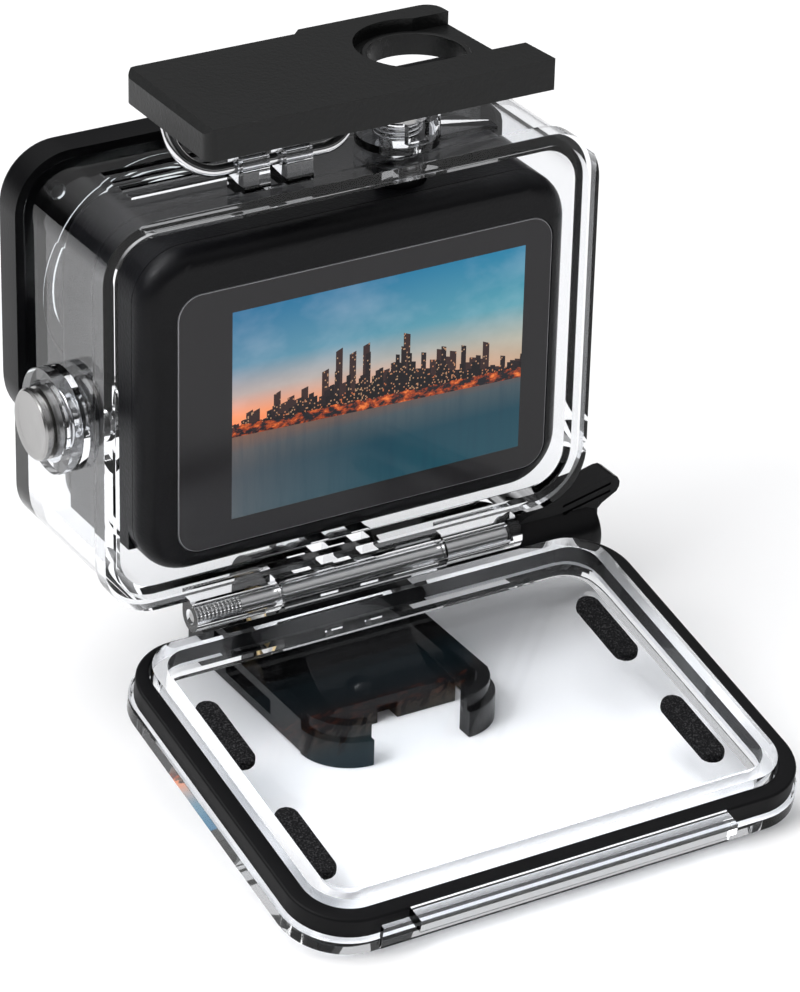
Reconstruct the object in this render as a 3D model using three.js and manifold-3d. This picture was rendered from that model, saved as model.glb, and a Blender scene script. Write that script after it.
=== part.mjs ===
// Action camera in a clear waterproof housing on a quick-release buckle.
// Millimetres, +Z up, +Y along the lens, +X to the right seen from behind.
// The origin is the centre of the buckle's underside. The back door is open and lies on z = 0.

import * as THREE from 'three';
import { mergeVertices } from 'three/addons/utils/BufferGeometryUtils.js';
import Module from 'manifold-3d';

const wasm = await Module();
wasm.setup();

// ---------------------------------------------------------------- driving dimensions

// clearances
const REST_GAP = 0.1; // between fixed pieces that lie on each other
const TURN_GAP = 0.3; // between pieces inside a turned group
const RUN_GAP = 0.2; // radial, between a moving stem and its bore

// camera
const CAMERA_W = 66.3;
const CAMERA_H = 48.1;
const CAMERA_D = 22.4; // body without the lens cover
const CAMERA_R = 7.5; // corner radius of the body
const CAMERA_WALL = 1.6;
const GLASS_LEFT = 5.25; // bezel shown beside the glass
const GLASS_RIGHT = 2.65;
const GLASS_BELOW = 3.05;
const GLASS_ABOVE = 6.25;
const GLASS_R = 3.6;
const GLASS_T = 0.8;
const PICTURE_LEFT = 8.2; // dark glass shown beside the picture
const PICTURE_RIGHT = 4.4;
const PICTURE_EDGE = 3.8; // and above and below it
const BEZEL_D = 3.2; // rear bezel depth
const LENS_COVER = 22; // side of the square lens cover
const LENS_COVER_D = 4.6;
const LENS_X = -16.7; // lens axis from the camera's centre
const LENS_DROP = 16; // lens axis below the camera's top

// housing
const WALL = 2.2;
const FLANGE_D = 3.2;
const FLANGE_LIP = 1.7; // flange wall around the door's rim
const MOUTH_D = 1.5; // step inside the flange that takes the rim
const FLANGE_STEP = 0.75; // flange stands proud of the box
const FRAME_R = 8;
const FRONT_CLEAR = 2.6; // front wall ahead of the camera's body
const CAMERA_SET_IN = 1.5; // camera's rear face ahead of the flange face
const SIDE_CLEAR = 0.6; // right of the camera
const PLUNGER_CLEAR_X = 3.6; // left of the camera, for the side plunger
const PLUNGER_CLEAR_Z = 3.5; // above the camera, for the shutter plunger
const CAMERA_X = 1.5; // camera's centre from the housing's centre

// buckle, fingers and thumb screw
const PIVOT_Z = 11.3;
const PIVOT_Y = 8;
const TONGUE_R = 7.3;
const SCREW_R = 2.45;
const FINGER_T = 2.8;
const FINGER_GAP = 0.3;
const HOUSING_BOTTOM = 21.1; // underside of the flange above the table
const PRONG_T = 3;
const BASE_T = 3.4;
const BASE_FRONT = -10.5;
const ARM_FRONT = -12.5; // a side arm's pad starts here
const BASE_REAR = 20;
const BASE_HALF_W = 11;
const BLOCK_H = 9.6;
const ARM_X = 12.9; // inner face of a side arm
const ARM_T = 2.1;
const ARM_H = 5.4;
const PAD_REACH = 7.4; // radius of the curved end of a side arm
const PAD_LOW_H = 4; // lower step of the curved end
const PAD_STEP = 0.8;
const KNOB_NECK_R = 3.4;
const KNOB_HUB_R = 4.8;
const KNOB_START = 29.5;
const KNOB_END = 44.5;
const WING_R = 8.4;
const WING_FLARE = 3.6; // wing tips lean out past the hub
const WING_T = 4.4;
const NUT_R = 4.3;
const NUT_T = 2.4;

// door and hinge
const BARREL_R = 2.2;
const PIN_R = 1;
const BARREL_CLEAR = 0.3; // barrel below the flange's underside
const BARREL_LEFT = -25.4;
const BARREL_RIGHT = 26.6;
const KNUCKLE_A = -12.2; // left housing knuckle ends
const KNUCKLE_B = 14.4; // right housing knuckle starts
const KNUCKLE_GAP = 0.35;
const DOOR_OVERHANG = 1.2; // door's edge past the flange, each side
const DOOR_T = 6; // flange face to the door's outer face
const SEAT_BACK = 3.3; // gasket seat behind the flange face
const DOOR_BOTTOM = 2.7; // door ring starts this far from the hinge axis
const DOOR_TOP_OVER = 1.1; // door ring ends this far above the flange
const WINDOW_T = 1.6;
const RIM_T = 2;
const RIM_IN = 1.0; // rim reaches this far into the flange
const RIM_CLEAR = 0.5;
const LIP_H = 2.8; // catch ridge height above the door ring
const LIP_BACK = -1.5; // ridge, from behind the flange face to ahead of it
const LIP_AHEAD = 0.4;
const LIP_W = 48.6; // the ridge fits between the lever's end walls
const LIP_X = -1.2;
const LIP_ROOT = 4; // its root runs on past the ridge
const GASKET_T = 2.9;
const GASKET_OUT = 0.6; // gasket's outer edge past the flange's edge
const PAD_L = 13.4;
const PAD_W = 3.5;
const PAD_T = 1.8;
const PAD_IN = 3.7; // pad's middle from the tray's side wall

// latch
const BAIL_AXIS_Y = 4.5;
const BAIL_AXIS_Z = 3.1; // above the flange's top
const BAIL_LEAN = 35; // degrees ahead of upright
const BAIL_REACH = 10.6;
const WIRE_R = 0.85;
const BAIL_LEFT = -24.4;
const BAIL_RIGHT = 2.7;
const BAIL_BEND = 6.5;
const BLOCK_W = 4;
const LEVER_LEFT = -26.8;
const LEVER_RIGHT = 24.6;
const LEVER_BACK = -7.4;
const LEVER_FRONT = 17;
const LEVER_H = 4.5;
const LEVER_TOP_T = 1.5;
const LEVER_SKIRT = 1.3;
const LEVER_END = 0.9; // end walls
const LEVER_LIFT = 10.4; // lever's underside above the flange's top
const POCKET_DEPTH = 1.9;
const POCKET_BACK = -0.9;
const HOLE_R = 6.7;
const POCKET_R = 8.6;

// plungers
const STEM_R = 1.6;
const BORE_R = 2.5;
const BOSS_R = 5.9; // top boss
const BOSS_H = 4.2;
const SHUTTER_X = 11.8;
const SHUTTER_Y = 10.2;
const SHUTTER_CAP_R = 4.3;
const SIDE_Y = 13;
const SIDE_Z = 46.3;
const SIDE_CAP_R = 5;
const SIDE_BOSS_R = 7.4;
const SIDE_BOSS_H = 2.9;
const SIDE_CAP_OUT = 5.3; // cap face from the box wall
const SIDE_CAP_T = 3;
const PLUNGER_SEAT = 0.3; // gap between a stem and the camera's button
const BUTTON_PROUD = 0.9;

// lens port
const PORT_R = 16.6;
const PORT_BORE_R = 14.4;
const PORT_H = 1.9;
const WINDOW_GLASS_T = 2;
const SEAL_T = 0.8;
const RETAINER_RIM = 1.4; // retainer past the port's collar
const RETAINER_T = 4.4;
const PORT_SCREW_IN = 2.8; // screw axis from the retainer's sides
const PORT_SCREW_R = 0.9;
const BEZEL_BELOW = 0.85; // bezel runs on below the retainer
const FRONT_BEZEL_T = 1.5;
const FRONT_SKIRT = 4.2;
const FRONT_SKIRT_T = 1.3;

// ---------------------------------------------------------------- derived places

// camera box in the shared frame
const camBottom = HOUSING_BOTTOM + FLANGE_STEP + WALL + TURN_GAP;
const camTop = camBottom + CAMERA_H;
const camLeft = CAMERA_X - CAMERA_W / 2;
const camRight = CAMERA_X + CAMERA_W / 2;
const camRear = CAMERA_SET_IN;
const camFront = camRear + CAMERA_D;
const lensX = CAMERA_X + LENS_X;
const lensZ = camTop - LENS_DROP;
const retainerHalf = PORT_R + RETAINER_RIM;
const portScrewAt = retainerHalf - PORT_SCREW_IN;
const bezelBottom = lensZ - retainerHalf - BEZEL_BELOW;

// housing box and flange
const boxInLeft = camLeft - PLUNGER_CLEAR_X;
const boxInRight = camRight + SIDE_CLEAR;
const boxInBottom = camBottom - TURN_GAP;
const boxInTop = camTop + PLUNGER_CLEAR_Z;
const boxLeft = boxInLeft - WALL;
const boxRight = boxInRight + WALL;
const boxBottom = boxInBottom - WALL;
const boxTop = boxInTop + WALL;
const frameLeft = boxLeft - FLANGE_STEP;
const frameRight = boxRight + FLANGE_STEP;
const frameBottom = boxBottom - FLANGE_STEP;
const frameTop = boxTop + FLANGE_STEP;
const frontY = camFront + FRONT_CLEAR + WALL;

// hinge, and the open angle that lays the door's outer edge on z = 0
const barrelDrop = BARREL_R + BARREL_CLEAR;
const hingeY = 0;
const hingeZ = frameBottom - barrelDrop;
const doorTop = frameTop + DOOR_TOP_OVER - hingeZ;
const doorReach = Math.hypot(doorTop, DOOR_T);
const doorSlope = Math.asin(hingeZ / doorReach) - Math.atan(DOOR_T / doorTop);
const doorOpen = Math.PI / 2 + doorSlope;

// latch
const bailY = BAIL_AXIS_Y;
const bailZ = frameTop + BAIL_AXIS_Z;
const lean = THREE.MathUtils.degToRad(BAIL_LEAN);
const pivotY = bailY + BAIL_REACH * Math.sin(lean);
const pivotZ = bailZ + BAIL_REACH * Math.cos(lean);
const leverBottom = frameTop + LEVER_LIFT;
const leverTop = leverBottom + LEVER_H;
const holeX = SHUTTER_X;
const holeY = SHUTTER_Y - BAIL_REACH * (1 - Math.sin(lean));

// ---------------------------------------------------------------- shape helpers

const object = new THREE.Group();

function material(color, roughness, metalness = 0, opacity = 1) {
  const transparent = opacity < 1;
  return new THREE.MeshStandardMaterial({ color, roughness, metalness, opacity, transparent });
}

const looks = {
  clear: () => material(0xe8f0f4, 0.08, 0, 0.3),
  glass: () => material(0x9fb0b8, 0.05, 0, 0.4),
  blackPlastic: () => material(0x17171a, 0.55),
  bodyPlastic: () => material(0x222226, 0.5),
  glossBlack: () => material(0x1c1c20, 0.12),
  rubber: () => material(0x0d0d0f, 0.8),
  foam: () => material(0x19191b, 0.95),
  steel: () => material(0xb9bcc0, 0.28, 1),
  aluminium: () => material(0xc4c6c9, 0.4, 1),
  brass: () => material(0xb08d4c, 0.35, 1),
  board: () => material(0x1d4a32, 0.6),
  screen: () => material(0x2c5f7a, 0.25),
  cell: () => material(0x3c4046, 0.6),
};

function add(name, geometry, look, parent = object) {
  const mesh = new THREE.Mesh(geometry, look());
  mesh.name = name;
  parent.add(mesh);
  return mesh;
}

// three.js geometry to a manifold solid and back
function solid(geometry) {
  const bare = geometry.clone();
  bare.deleteAttribute('normal');
  bare.deleteAttribute('uv');
  const merged = mergeVertices(bare, 1e-4);
  return new wasm.Manifold(new wasm.Mesh({
    numProp: 3,
    vertProperties: new Float32Array(merged.attributes.position.array),
    triVerts: new Uint32Array(merged.index.array),
  }));
}

function toGeometry(manifold) {
  const mesh = manifold.getMesh();
  const geometry = new THREE.BufferGeometry();
  geometry.setAttribute('position', new THREE.BufferAttribute(new Float32Array(mesh.vertProperties), 3));
  geometry.setIndex(new THREE.BufferAttribute(new Uint32Array(mesh.triVerts), 1));
  geometry.computeVertexNormals();
  return geometry;
}

// first geometry joined with the adds, then cut by the cuts
function carve(first, adds = [], cuts = []) {
  let result = solid(first);
  for (const piece of adds) result = result.add(solid(piece));
  for (const piece of cuts) result = result.subtract(solid(piece));
  return toGeometry(result);
}

// box between two corners
function block(x0, y0, z0, x1, y1, z1) {
  const geometry = new THREE.BoxGeometry(x1 - x0, y1 - y0, z1 - z0);
  return geometry.translate((x0 + x1) / 2, (y0 + y1) / 2, (z0 + z1) / 2);
}

// round bar between two places on one axis
function bar(axis, radius, from, to, u, v, sides = 24) {
  const geometry = new THREE.CylinderGeometry(radius, radius, to - from, sides);
  const middle = (from + to) / 2;
  if (axis === 'x') return geometry.rotateZ(Math.PI / 2).translate(middle, u, v);
  if (axis === 'y') return geometry.translate(u, middle, v);
  return geometry.rotateX(Math.PI / 2).translate(u, v, middle);
}

// ring with a square section, around an axis
function ring(axis, outer, inner, from, to, u, v, sides = 24) {
  const profile = [
    new THREE.Vector2(inner, from), new THREE.Vector2(outer, from),
    new THREE.Vector2(outer, to), new THREE.Vector2(inner, to), new THREE.Vector2(inner, from),
  ];
  const geometry = new THREE.LatheGeometry(profile, sides);
  if (axis === 'x') return geometry.rotateZ(-Math.PI / 2).translate(0, u, v);
  if (axis === 'y') return geometry.translate(u, 0, v);
  return geometry.rotateX(Math.PI / 2).translate(u, v, 0);
}

// rounded rectangle in the X-Z plane, as a shape
function roundedShape(x0, z0, x1, z1, r) {
  const shape = new THREE.Shape();
  shape.moveTo(x0 + r, z0);
  shape.lineTo(x1 - r, z0);
  shape.absarc(x1 - r, z0 + r, r, -Math.PI / 2, 0);
  shape.lineTo(x1, z1 - r);
  shape.absarc(x1 - r, z1 - r, r, 0, Math.PI / 2);
  shape.lineTo(x0 + r, z1);
  shape.absarc(x0 + r, z1 - r, r, Math.PI / 2, Math.PI);
  shape.lineTo(x0, z0 + r);
  shape.absarc(x0 + r, z0 + r, r, Math.PI, Math.PI * 1.5);
  return shape;
}

function extrude(shape, depth, steps) {
  return new THREE.ExtrudeGeometry(shape, { depth, bevelEnabled: false, curveSegments: steps });
}

// a shape drawn in X-Z, given depth from y0 to y1
function slab(shape, y0, y1, steps = 5) {
  const geometry = extrude(shape, y1 - y0, steps);
  return geometry.rotateX(Math.PI / 2).translate(0, y1, 0);
}

function roundedSlab(x0, z0, x1, z1, r, y0, y1) {
  return slab(roundedShape(x0, z0, x1, z1, r), y0, y1);
}

// a shape drawn in Y-Z, given width from x0 to x1
function plank(shape, x0, x1, steps = 8) {
  const geometry = extrude(shape, x1 - x0, steps);
  return geometry.rotateY(Math.PI / 2).rotateX(Math.PI / 2).translate(x0, 0, 0);
}

// a shape drawn in X-Y, given height from z0 to z1
function tile(shape, z0, z1, steps = 6) {
  const geometry = extrude(shape, z1 - z0, steps);
  return geometry.translate(0, 0, z0);
}

// coil spring along +Z from z = 0
function coil(radius, wire, length, turns) {
  const points = [];
  const perTurn = 10;
  for (let i = 0; i <= turns * perTurn; i++) {
    const a = (i / perTurn) * 2 * Math.PI;
    const rise = wire + (i / (turns * perTurn)) * (length - 2 * wire);
    points.push(new THREE.Vector3(radius * Math.cos(a), radius * Math.sin(a), rise));
  }
  const path = new THREE.CatmullRomCurve3(points);
  return wireAlong(path, wire, turns * perTurn, 6);
}

// wire of round section along a path
function wireAlong(path, radius, steps, sides = 8) {
  const section = new THREE.Shape();
  section.absarc(0, 0, radius, 0, 2 * Math.PI);
  return new THREE.ExtrudeGeometry(section, {
    steps, curveSegments: sides / 2, extrudePath: path, bevelEnabled: false,
  });
}

// straight runs joined by round bends through the given corners
function bentPath(corners, bend) {
  const path = new THREE.CurvePath();
  let from = corners[0];
  for (let i = 1; i < corners.length - 1; i++) {
    const into = corners[i].clone().sub(corners[i - 1]).normalize();
    const out = corners[i + 1].clone().sub(corners[i]).normalize();
    const start = corners[i].clone().addScaledVector(into, -bend[i]);
    const end = corners[i].clone().addScaledVector(out, bend[i]);
    path.add(new THREE.LineCurve3(from, start));
    path.add(new THREE.QuadraticBezierCurve3(start, corners[i], end));
    from = end;
  }
  path.add(new THREE.LineCurve3(from, corners[corners.length - 1]));
  return path;
}

// upright tongue with a round end at the tilt axis; reach is the far end's height
function tongueShape(reach) {
  const shape = new THREE.Shape();
  const up = reach > PIVOT_Z;
  shape.moveTo(PIVOT_Y + TONGUE_R, reach);
  shape.lineTo(PIVOT_Y + TONGUE_R, PIVOT_Z);
  shape.absarc(PIVOT_Y, PIVOT_Z, TONGUE_R, 0, up ? -Math.PI : Math.PI, up);
  shape.lineTo(PIVOT_Y - TONGUE_R, reach);
  return shape;
}

// ---------------------------------------------------------------- buckle (root)

const fingerInner = PRONG_T / 2 + FINGER_GAP;
const fingerOuter = fingerInner + FINGER_T;
const prongInner = fingerOuter + FINGER_GAP;
const prongOuter = prongInner + PRONG_T;
const nutPocket = NUT_T + 0.8;

function buckleBase() {
  const plate = block(-BASE_HALF_W, BASE_FRONT, 0, BASE_HALF_W, BASE_REAR, BASE_T);
  const side = new THREE.Shape();
  side.moveTo(0.2, BASE_T / 2);
  side.lineTo(0.2, BLOCK_H);
  side.lineTo(-1.4, BLOCK_H);
  side.quadraticCurveTo(-3.4, BLOCK_H - 5.2, BASE_FRONT, BLOCK_H - 5.6);
  side.lineTo(BASE_FRONT, BASE_T / 2);
  const ramp = plank(side, -8.5, 8.5);
  const prong = tongueShape(BASE_T / 2);
  const prongs = [
    plank(prong, -PRONG_T / 2, PRONG_T / 2),
    plank(prong, prongInner, prongOuter),
    plank(prong, -prongOuter - nutPocket, -prongInner),
  ];
  const adds = [ramp, ...prongs];
  for (const s of [-1, 1]) {
    const outer = s * (ARM_X + ARM_T);
    const inner = s * ARM_X;
    adds.push(block(Math.min(inner, outer), ARM_FRONT, 0.3, Math.max(inner, outer), BASE_REAR, ARM_H));
    adds.push(block(Math.min(s * 10, outer), 15.5, 0, Math.max(s * 10, outer), BASE_REAR, ARM_H));
    adds.push(padEnd(s, PAD_REACH, 0, PAD_LOW_H),
      padEnd(s, PAD_REACH - PAD_STEP, PAD_LOW_H - 0.5, ARM_H + 0.9));
  }
  const notch = block(-1.6, BASE_FRONT - 1, -1, 1.6, BASE_FRONT + 2.4, 2.6);
  const screwHole = bar('x', SCREW_R + RUN_GAP, -prongOuter - nutPocket - 1, prongOuter + 1, PIVOT_Y,
    PIVOT_Z);
  const nutHole = bar('x', NUT_R + 0.15, -prongOuter - nutPocket - 1, -prongOuter - 0.5, PIVOT_Y,
    PIVOT_Z, 6);
  const windows = [-1, 1].map((s) => {
    const x = s * (ARM_X + ARM_T / 2);
    return block(x - ARM_T, -4, 1.7, x + ARM_T, 9, 4);
  });
  return carve(plate, adds, [notch, screwHole, nutHole, ...windows]);
}

// one step of the curved end of a side arm, a quarter ring that turns in across the front
function padEnd(s, reach, z0, z1) {
  const shape = new THREE.Shape();
  const centreX = s * (ARM_X + ARM_T - PAD_REACH);
  const thick = 2.6;
  const from = s < 0 ? Math.PI : -Math.PI / 2;
  const to = s < 0 ? Math.PI * 1.5 : 0;
  shape.absarc(centreX, ARM_FRONT, reach, from, to, false);
  shape.absarc(centreX, ARM_FRONT, PAD_REACH - thick, to, from, true);
  return tile(shape, z0, z1);
}

add('buckle_base', buckleBase(), looks.blackPlastic);

const nutOut = -prongOuter - nutPocket + 0.3;
add('buckle_nut', carve(
  bar('x', NUT_R - 0.1, nutOut, nutOut + NUT_T, PIVOT_Y, PIVOT_Z, 6), [],
  [bar('x', SCREW_R + 0.1, nutOut - 1, nutOut + NUT_T + 1, PIVOT_Y, PIVOT_Z)],
), looks.brass);

// ---------------------------------------------------------------- thumb screw

const screwEnd = KNOB_START - 5;
add('thumb_screw_shank', bar('x', SCREW_R, nutOut, screwEnd, PIVOT_Y, PIVOT_Z, 20), looks.steel);

function thumbKnob() {
  const neck = bar('x', KNOB_NECK_R, prongOuter + TURN_GAP, KNOB_START + 1, PIVOT_Y, PIVOT_Z);
  const hub = bar('x', KNOB_HUB_R, KNOB_START, KNOB_END, PIVOT_Y, PIVOT_Z);
  const wing = new THREE.Shape();
  wing.moveTo(KNOB_START, 0);
  wing.lineTo(KNOB_END, 0);
  wing.lineTo(KNOB_END, KNOB_HUB_R - 1.2);
  wing.lineTo(KNOB_END + WING_FLARE, WING_R - 2.2);
  wing.quadraticCurveTo(KNOB_END + WING_FLARE + 0.8, WING_R, KNOB_END + WING_FLARE - 2, WING_R);
  wing.lineTo(KNOB_START + 3, KNOB_HUB_R + 0.4);
  wing.lineTo(KNOB_START, KNOB_HUB_R - 1);
  const upper = slab(wing, -WING_T / 2, WING_T / 2).translate(0, PIVOT_Y, PIVOT_Z);
  const lower = slab(wing, -WING_T / 2, WING_T / 2).rotateX(Math.PI).translate(0, PIVOT_Y, PIVOT_Z);
  const bore = bar('x', SCREW_R + 0.05, 0, screwEnd + 0.3, PIVOT_Y, PIVOT_Z);
  return carve(neck, [hub, upper, lower], [bore]);
}
add('thumb_knob', thumbKnob(), looks.blackPlastic);

// ---------------------------------------------------------------- housing shell

const stemBoreTop = bar('z', BORE_R, boxInTop - 1, boxTop + BOSS_H + 1, SHUTTER_X, SHUTTER_Y);
const wellTop = bar('z', BOSS_R - 1.1, boxTop + 0.8, boxTop + BOSS_H + 1, SHUTTER_X, SHUTTER_Y);
const stemBoreSide = bar('x', BORE_R, boxLeft - SIDE_BOSS_H - 1, boxInLeft + 1, SIDE_Y, SIDE_Z);
const wellSide = bar('x', SIDE_BOSS_R - 1.7, boxLeft - SIDE_BOSS_H - 1, boxLeft - 0.4, SIDE_Y, SIDE_Z);

function screwSpots() {
  const spots = [];
  for (const i of [-portScrewAt, portScrewAt]) {
    for (const k of [-portScrewAt, portScrewAt]) spots.push([lensX + i, lensZ + k]);
  }
  return spots;
}

// one latch block with a bore for the wire
function latchBlock(x0) {
  return block(x0, bailY - 2.5, frameTop - 1.5, x0 + BLOCK_W, bailY + 2.5, bailZ + 1.6);
}
const blockLefts = [BAIL_LEFT + 8.2, BAIL_RIGHT - 8.4 - BLOCK_W];

function housingShell() {
  const flange = roundedSlab(frameLeft, frameBottom, frameRight, frameTop, FRAME_R, 0, FLANGE_D);
  const box = roundedSlab(boxLeft, boxBottom, boxRight, boxTop, FRAME_R - 1, FLANGE_D / 2, frontY);
  const cavity = roundedSlab(boxInLeft, boxInBottom, boxInRight, boxInTop, FRAME_R - 2.6, -1,
    frontY - WALL);
  const mouth = roundedSlab(
    frameLeft + FLANGE_LIP, frameBottom + FLANGE_LIP, frameRight - FLANGE_LIP, frameTop - FLANGE_LIP,
    FRAME_R - 1.6, -1, MOUTH_D,
  );
  const port = bar('y', PORT_R, frontY - 1, frontY + PORT_H, lensX, lensZ, 32);
  const portBore = bar('y', PORT_BORE_R, frontY - WALL - 1, frontY + PORT_H + 1, lensX, lensZ, 32);
  const finger = tongueShape(boxBottom + 1);
  const fingers = [plank(finger, fingerInner, fingerOuter), plank(finger, -fingerOuter, -fingerInner)];
  const topBoss = bar('z', BOSS_R, boxTop - 1, boxTop + BOSS_H, SHUTTER_X, SHUTTER_Y, 28);
  const sideBoss = bar('x', SIDE_BOSS_R, boxLeft - SIDE_BOSS_H, boxLeft + 1, SIDE_Y, SIDE_Z, 28);
  const knuckles = [];
  for (const [x0, x1] of [[BARREL_LEFT, KNUCKLE_A], [KNUCKLE_B, BARREL_RIGHT]]) {
    knuckles.push(bar('x', BARREL_R, x0, x1, hingeY, hingeZ, 20));
    knuckles.push(block(x0, 0, hingeZ, x1, BARREL_R, frameBottom + 1));
  }
  const wireBore = bar('x', WIRE_R + RUN_GAP, BAIL_LEFT, BAIL_RIGHT, bailY, bailZ, 16);
  const pinBore = bar('x', PIN_R + REST_GAP, BARREL_LEFT - 1, BARREL_RIGHT - 1.5, hingeY, hingeZ, 16);
  const screwHole = bar('x', SCREW_R + RUN_GAP, -prongInner, prongInner, PIVOT_Y, PIVOT_Z);
  const hingeRoom = bar('x', barrelDrop - 0.02, KNUCKLE_A, KNUCKLE_B, hingeY, hingeZ, 20);
  const slots = [0, 1, 2, 3].map((i) => block(-29, 9.6 + i * 2.6, boxTop - 0.8, -13.4, 11 + i * 2.6,
    boxTop + 1));
  const finRun = SHUTTER_X + BOSS_R;
  const fin = slab(new THREE.Shape([
    new THREE.Vector2(finRun - 2, boxTop - 0.5), new THREE.Vector2(finRun + 8, boxTop - 0.5),
    new THREE.Vector2(finRun + 8, boxTop + 0.4), new THREE.Vector2(finRun - 2, boxTop + 2.3),
  ]), SHUTTER_Y - 3.4, SHUTTER_Y - 1);
  const notch = block(SHUTTER_X - 1.6, SHUTTER_Y - BOSS_R - 1, boxTop + 1.4, SHUTTER_X + 1.6, SHUTTER_Y,
    boxTop + 6);
  const drills = screwSpots().map(([x, z]) => bar('y', PORT_SCREW_R + 0.15, frontY - 1.6, frontY + 1, x,
    z, 12));
  return carve(
    flange,
    [box, port, ...fingers, topBoss, fin, sideBoss, ...knuckles, ...blockLefts.map(latchBlock)],
    [cavity, mouth, portBore, wellTop, wellSide, stemBoreTop, stemBoreSide, wireBore, pinBore, screwHole,
      hingeRoom, ...slots, notch, ...drills],
  );
}
add('housing_shell', housingShell(), looks.clear);

// black trim over the front edge of the housing, around the lens port
function frontBezel() {
  const out = REST_GAP + FRONT_SKIRT_T;
  const face = frontY + REST_GAP + FRONT_BEZEL_T;
  const cap = roundedSlab(boxLeft - out, bezelBottom, boxRight + out, boxTop + out, FRAME_R + 0.4,
    frontY - FRONT_SKIRT, face);
  const core = roundedSlab(
    boxLeft - REST_GAP, boxBottom - 10, boxRight + REST_GAP, boxTop + REST_GAP,
    FRAME_R - 0.9, frontY - FRONT_SKIRT - 1, frontY + REST_GAP,
  );
  const hole = bar('y', PORT_R + REST_GAP, frontY - 1, face + 1, lensX, lensZ, 32);
  const drills = screwSpots().map(([x, z]) => bar('y', PORT_SCREW_R + 0.15, frontY, face + 1, x, z, 12));
  return carve(cap, [], [core, hole, ...drills]);
}
add('front_bezel', frontBezel(), looks.blackPlastic);

const bezelFace = frontY + REST_GAP + FRONT_BEZEL_T;
const portFace = frontY + PORT_H;
const sealFrom = portFace + REST_GAP;
const windowFrom = sealFrom + SEAL_T + REST_GAP;
const windowTo = windowFrom + WINDOW_GLASS_T;
const retainerFrom = bezelFace + REST_GAP;
const retainerTo = retainerFrom + RETAINER_T;

add('port_seal', ring('y', PORT_R - 0.4, PORT_BORE_R + 0.2, sealFrom, sealFrom + SEAL_T, lensX, lensZ,
  28), looks.rubber);
add('port_window', bar('y', PORT_R - 0.3, windowFrom, windowTo, lensX, lensZ, 32), looks.glass);

function portRetainer() {
  const half = retainerHalf;
  const frame = roundedSlab(lensX - half, lensZ - half, lensX + half, lensZ + half, 5, retainerFrom,
    retainerTo);
  const pocket = bar('y', PORT_R + 0.2, retainerFrom - 1, windowTo + REST_GAP, lensX, lensZ, 32);
  const eye = bar('y', PORT_BORE_R - 0.6, retainerFrom, retainerTo + 1, lensX, lensZ, 32);
  const drills = screwSpots().map(([x, z]) => bar('y', PORT_SCREW_R + 0.15, retainerFrom - 1,
    retainerTo + 1, x, z, 12));
  return carve(frame, [], [pocket, eye, ...drills]);
}
add('port_retainer', portRetainer(), looks.blackPlastic);

screwSpots().forEach(([x, z], i) => {
  const head = bar('y', PORT_SCREW_R * 1.9, retainerTo + REST_GAP, retainerTo + 1.3, x, z, 12);
  const shank = bar('y', PORT_SCREW_R, frontY - 1.3, retainerTo + 0.5, x, z, 10);
  const slot = block(x - 2, retainerTo + 0.9, z - 0.25, x + 2, retainerTo + 2, z + 0.25);
  add(`port_screw_${i + 1}`, carve(head, [shank], [slot]), looks.steel);
});

add('hinge_pin', bar('x', PIN_R, BARREL_LEFT + 0.3, BARREL_RIGHT - 1.8, hingeY, hingeZ, 14), looks.steel);

// ---------------------------------------------------------------- housing plungers

// each plunger is a capped stem with its spring, sealing ring and retaining clip
const shutterSeat = boxTop + 0.8; // floor of the spring well
const shutterCapBottom = boxTop + BOSS_H - 0.6;
const shutterEnd = camTop + BUTTON_PROUD + PLUNGER_SEAT;
add('shutter_plunger', carve(
  bar('z', SHUTTER_CAP_R, shutterCapBottom, shutterCapBottom + 2.2, SHUTTER_X, SHUTTER_Y, 28),
  [bar('z', STEM_R, shutterEnd, shutterCapBottom + 1, SHUTTER_X, SHUTTER_Y, 16)],
), looks.steel);
const shutterSpringLength = shutterCapBottom - shutterSeat - 2 * REST_GAP;
add('shutter_spring', coil(3.2, 0.25, shutterSpringLength, 3)
  .translate(SHUTTER_X, SHUTTER_Y, shutterSeat + REST_GAP), looks.steel);
add('shutter_o_ring', ring('z', BORE_R - 0.1, STEM_R + 0.1, boxTop - 1.4, boxTop - 0.5, SHUTTER_X,
  SHUTTER_Y, 16), looks.rubber);
add('shutter_clip', ring('z', BORE_R + 0.6, STEM_R + 0.1, boxInTop - 0.8, boxInTop - 0.2, SHUTTER_X,
  SHUTTER_Y, 16), looks.steel);

const sideCapFace = boxLeft - SIDE_CAP_OUT;
const sideCapBack = sideCapFace + SIDE_CAP_T;
const sideSeat = boxLeft - 0.4;
const sideEnd = camLeft - 0.5 - PLUNGER_SEAT;
add('side_plunger', carve(
  bar('x', SIDE_CAP_R, sideCapFace, sideCapBack, SIDE_Y, SIDE_Z, 28),
  [bar('x', STEM_R, sideCapBack - 1, sideEnd, SIDE_Y, SIDE_Z, 16)],
  [ring('x', SIDE_CAP_R + 1, SIDE_CAP_R - 0.7, sideCapFace + 1.1, sideCapFace + 1.7, SIDE_Y, SIDE_Z, 28)],
), looks.steel);
const sideSpringLength = sideSeat - sideCapBack - 2 * REST_GAP;
add('side_spring', coil(4.1, 0.25, sideSpringLength, 2)
  .rotateY(Math.PI / 2).translate(sideCapBack + REST_GAP, SIDE_Y, SIDE_Z), looks.steel);
add('side_o_ring', ring('x', BORE_R - 0.1, STEM_R + 0.1, boxLeft + 0.5, boxLeft + 1.4, SIDE_Y, SIDE_Z,
  16), looks.rubber);
add('side_clip', ring('x', BORE_R + 0.6, STEM_R + 0.1, boxInLeft + 0.2, boxInLeft + 0.8, SIDE_Y, SIDE_Z,
  16), looks.steel);

// ---------------------------------------------------------------- back door, drawn closed, then opened

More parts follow.
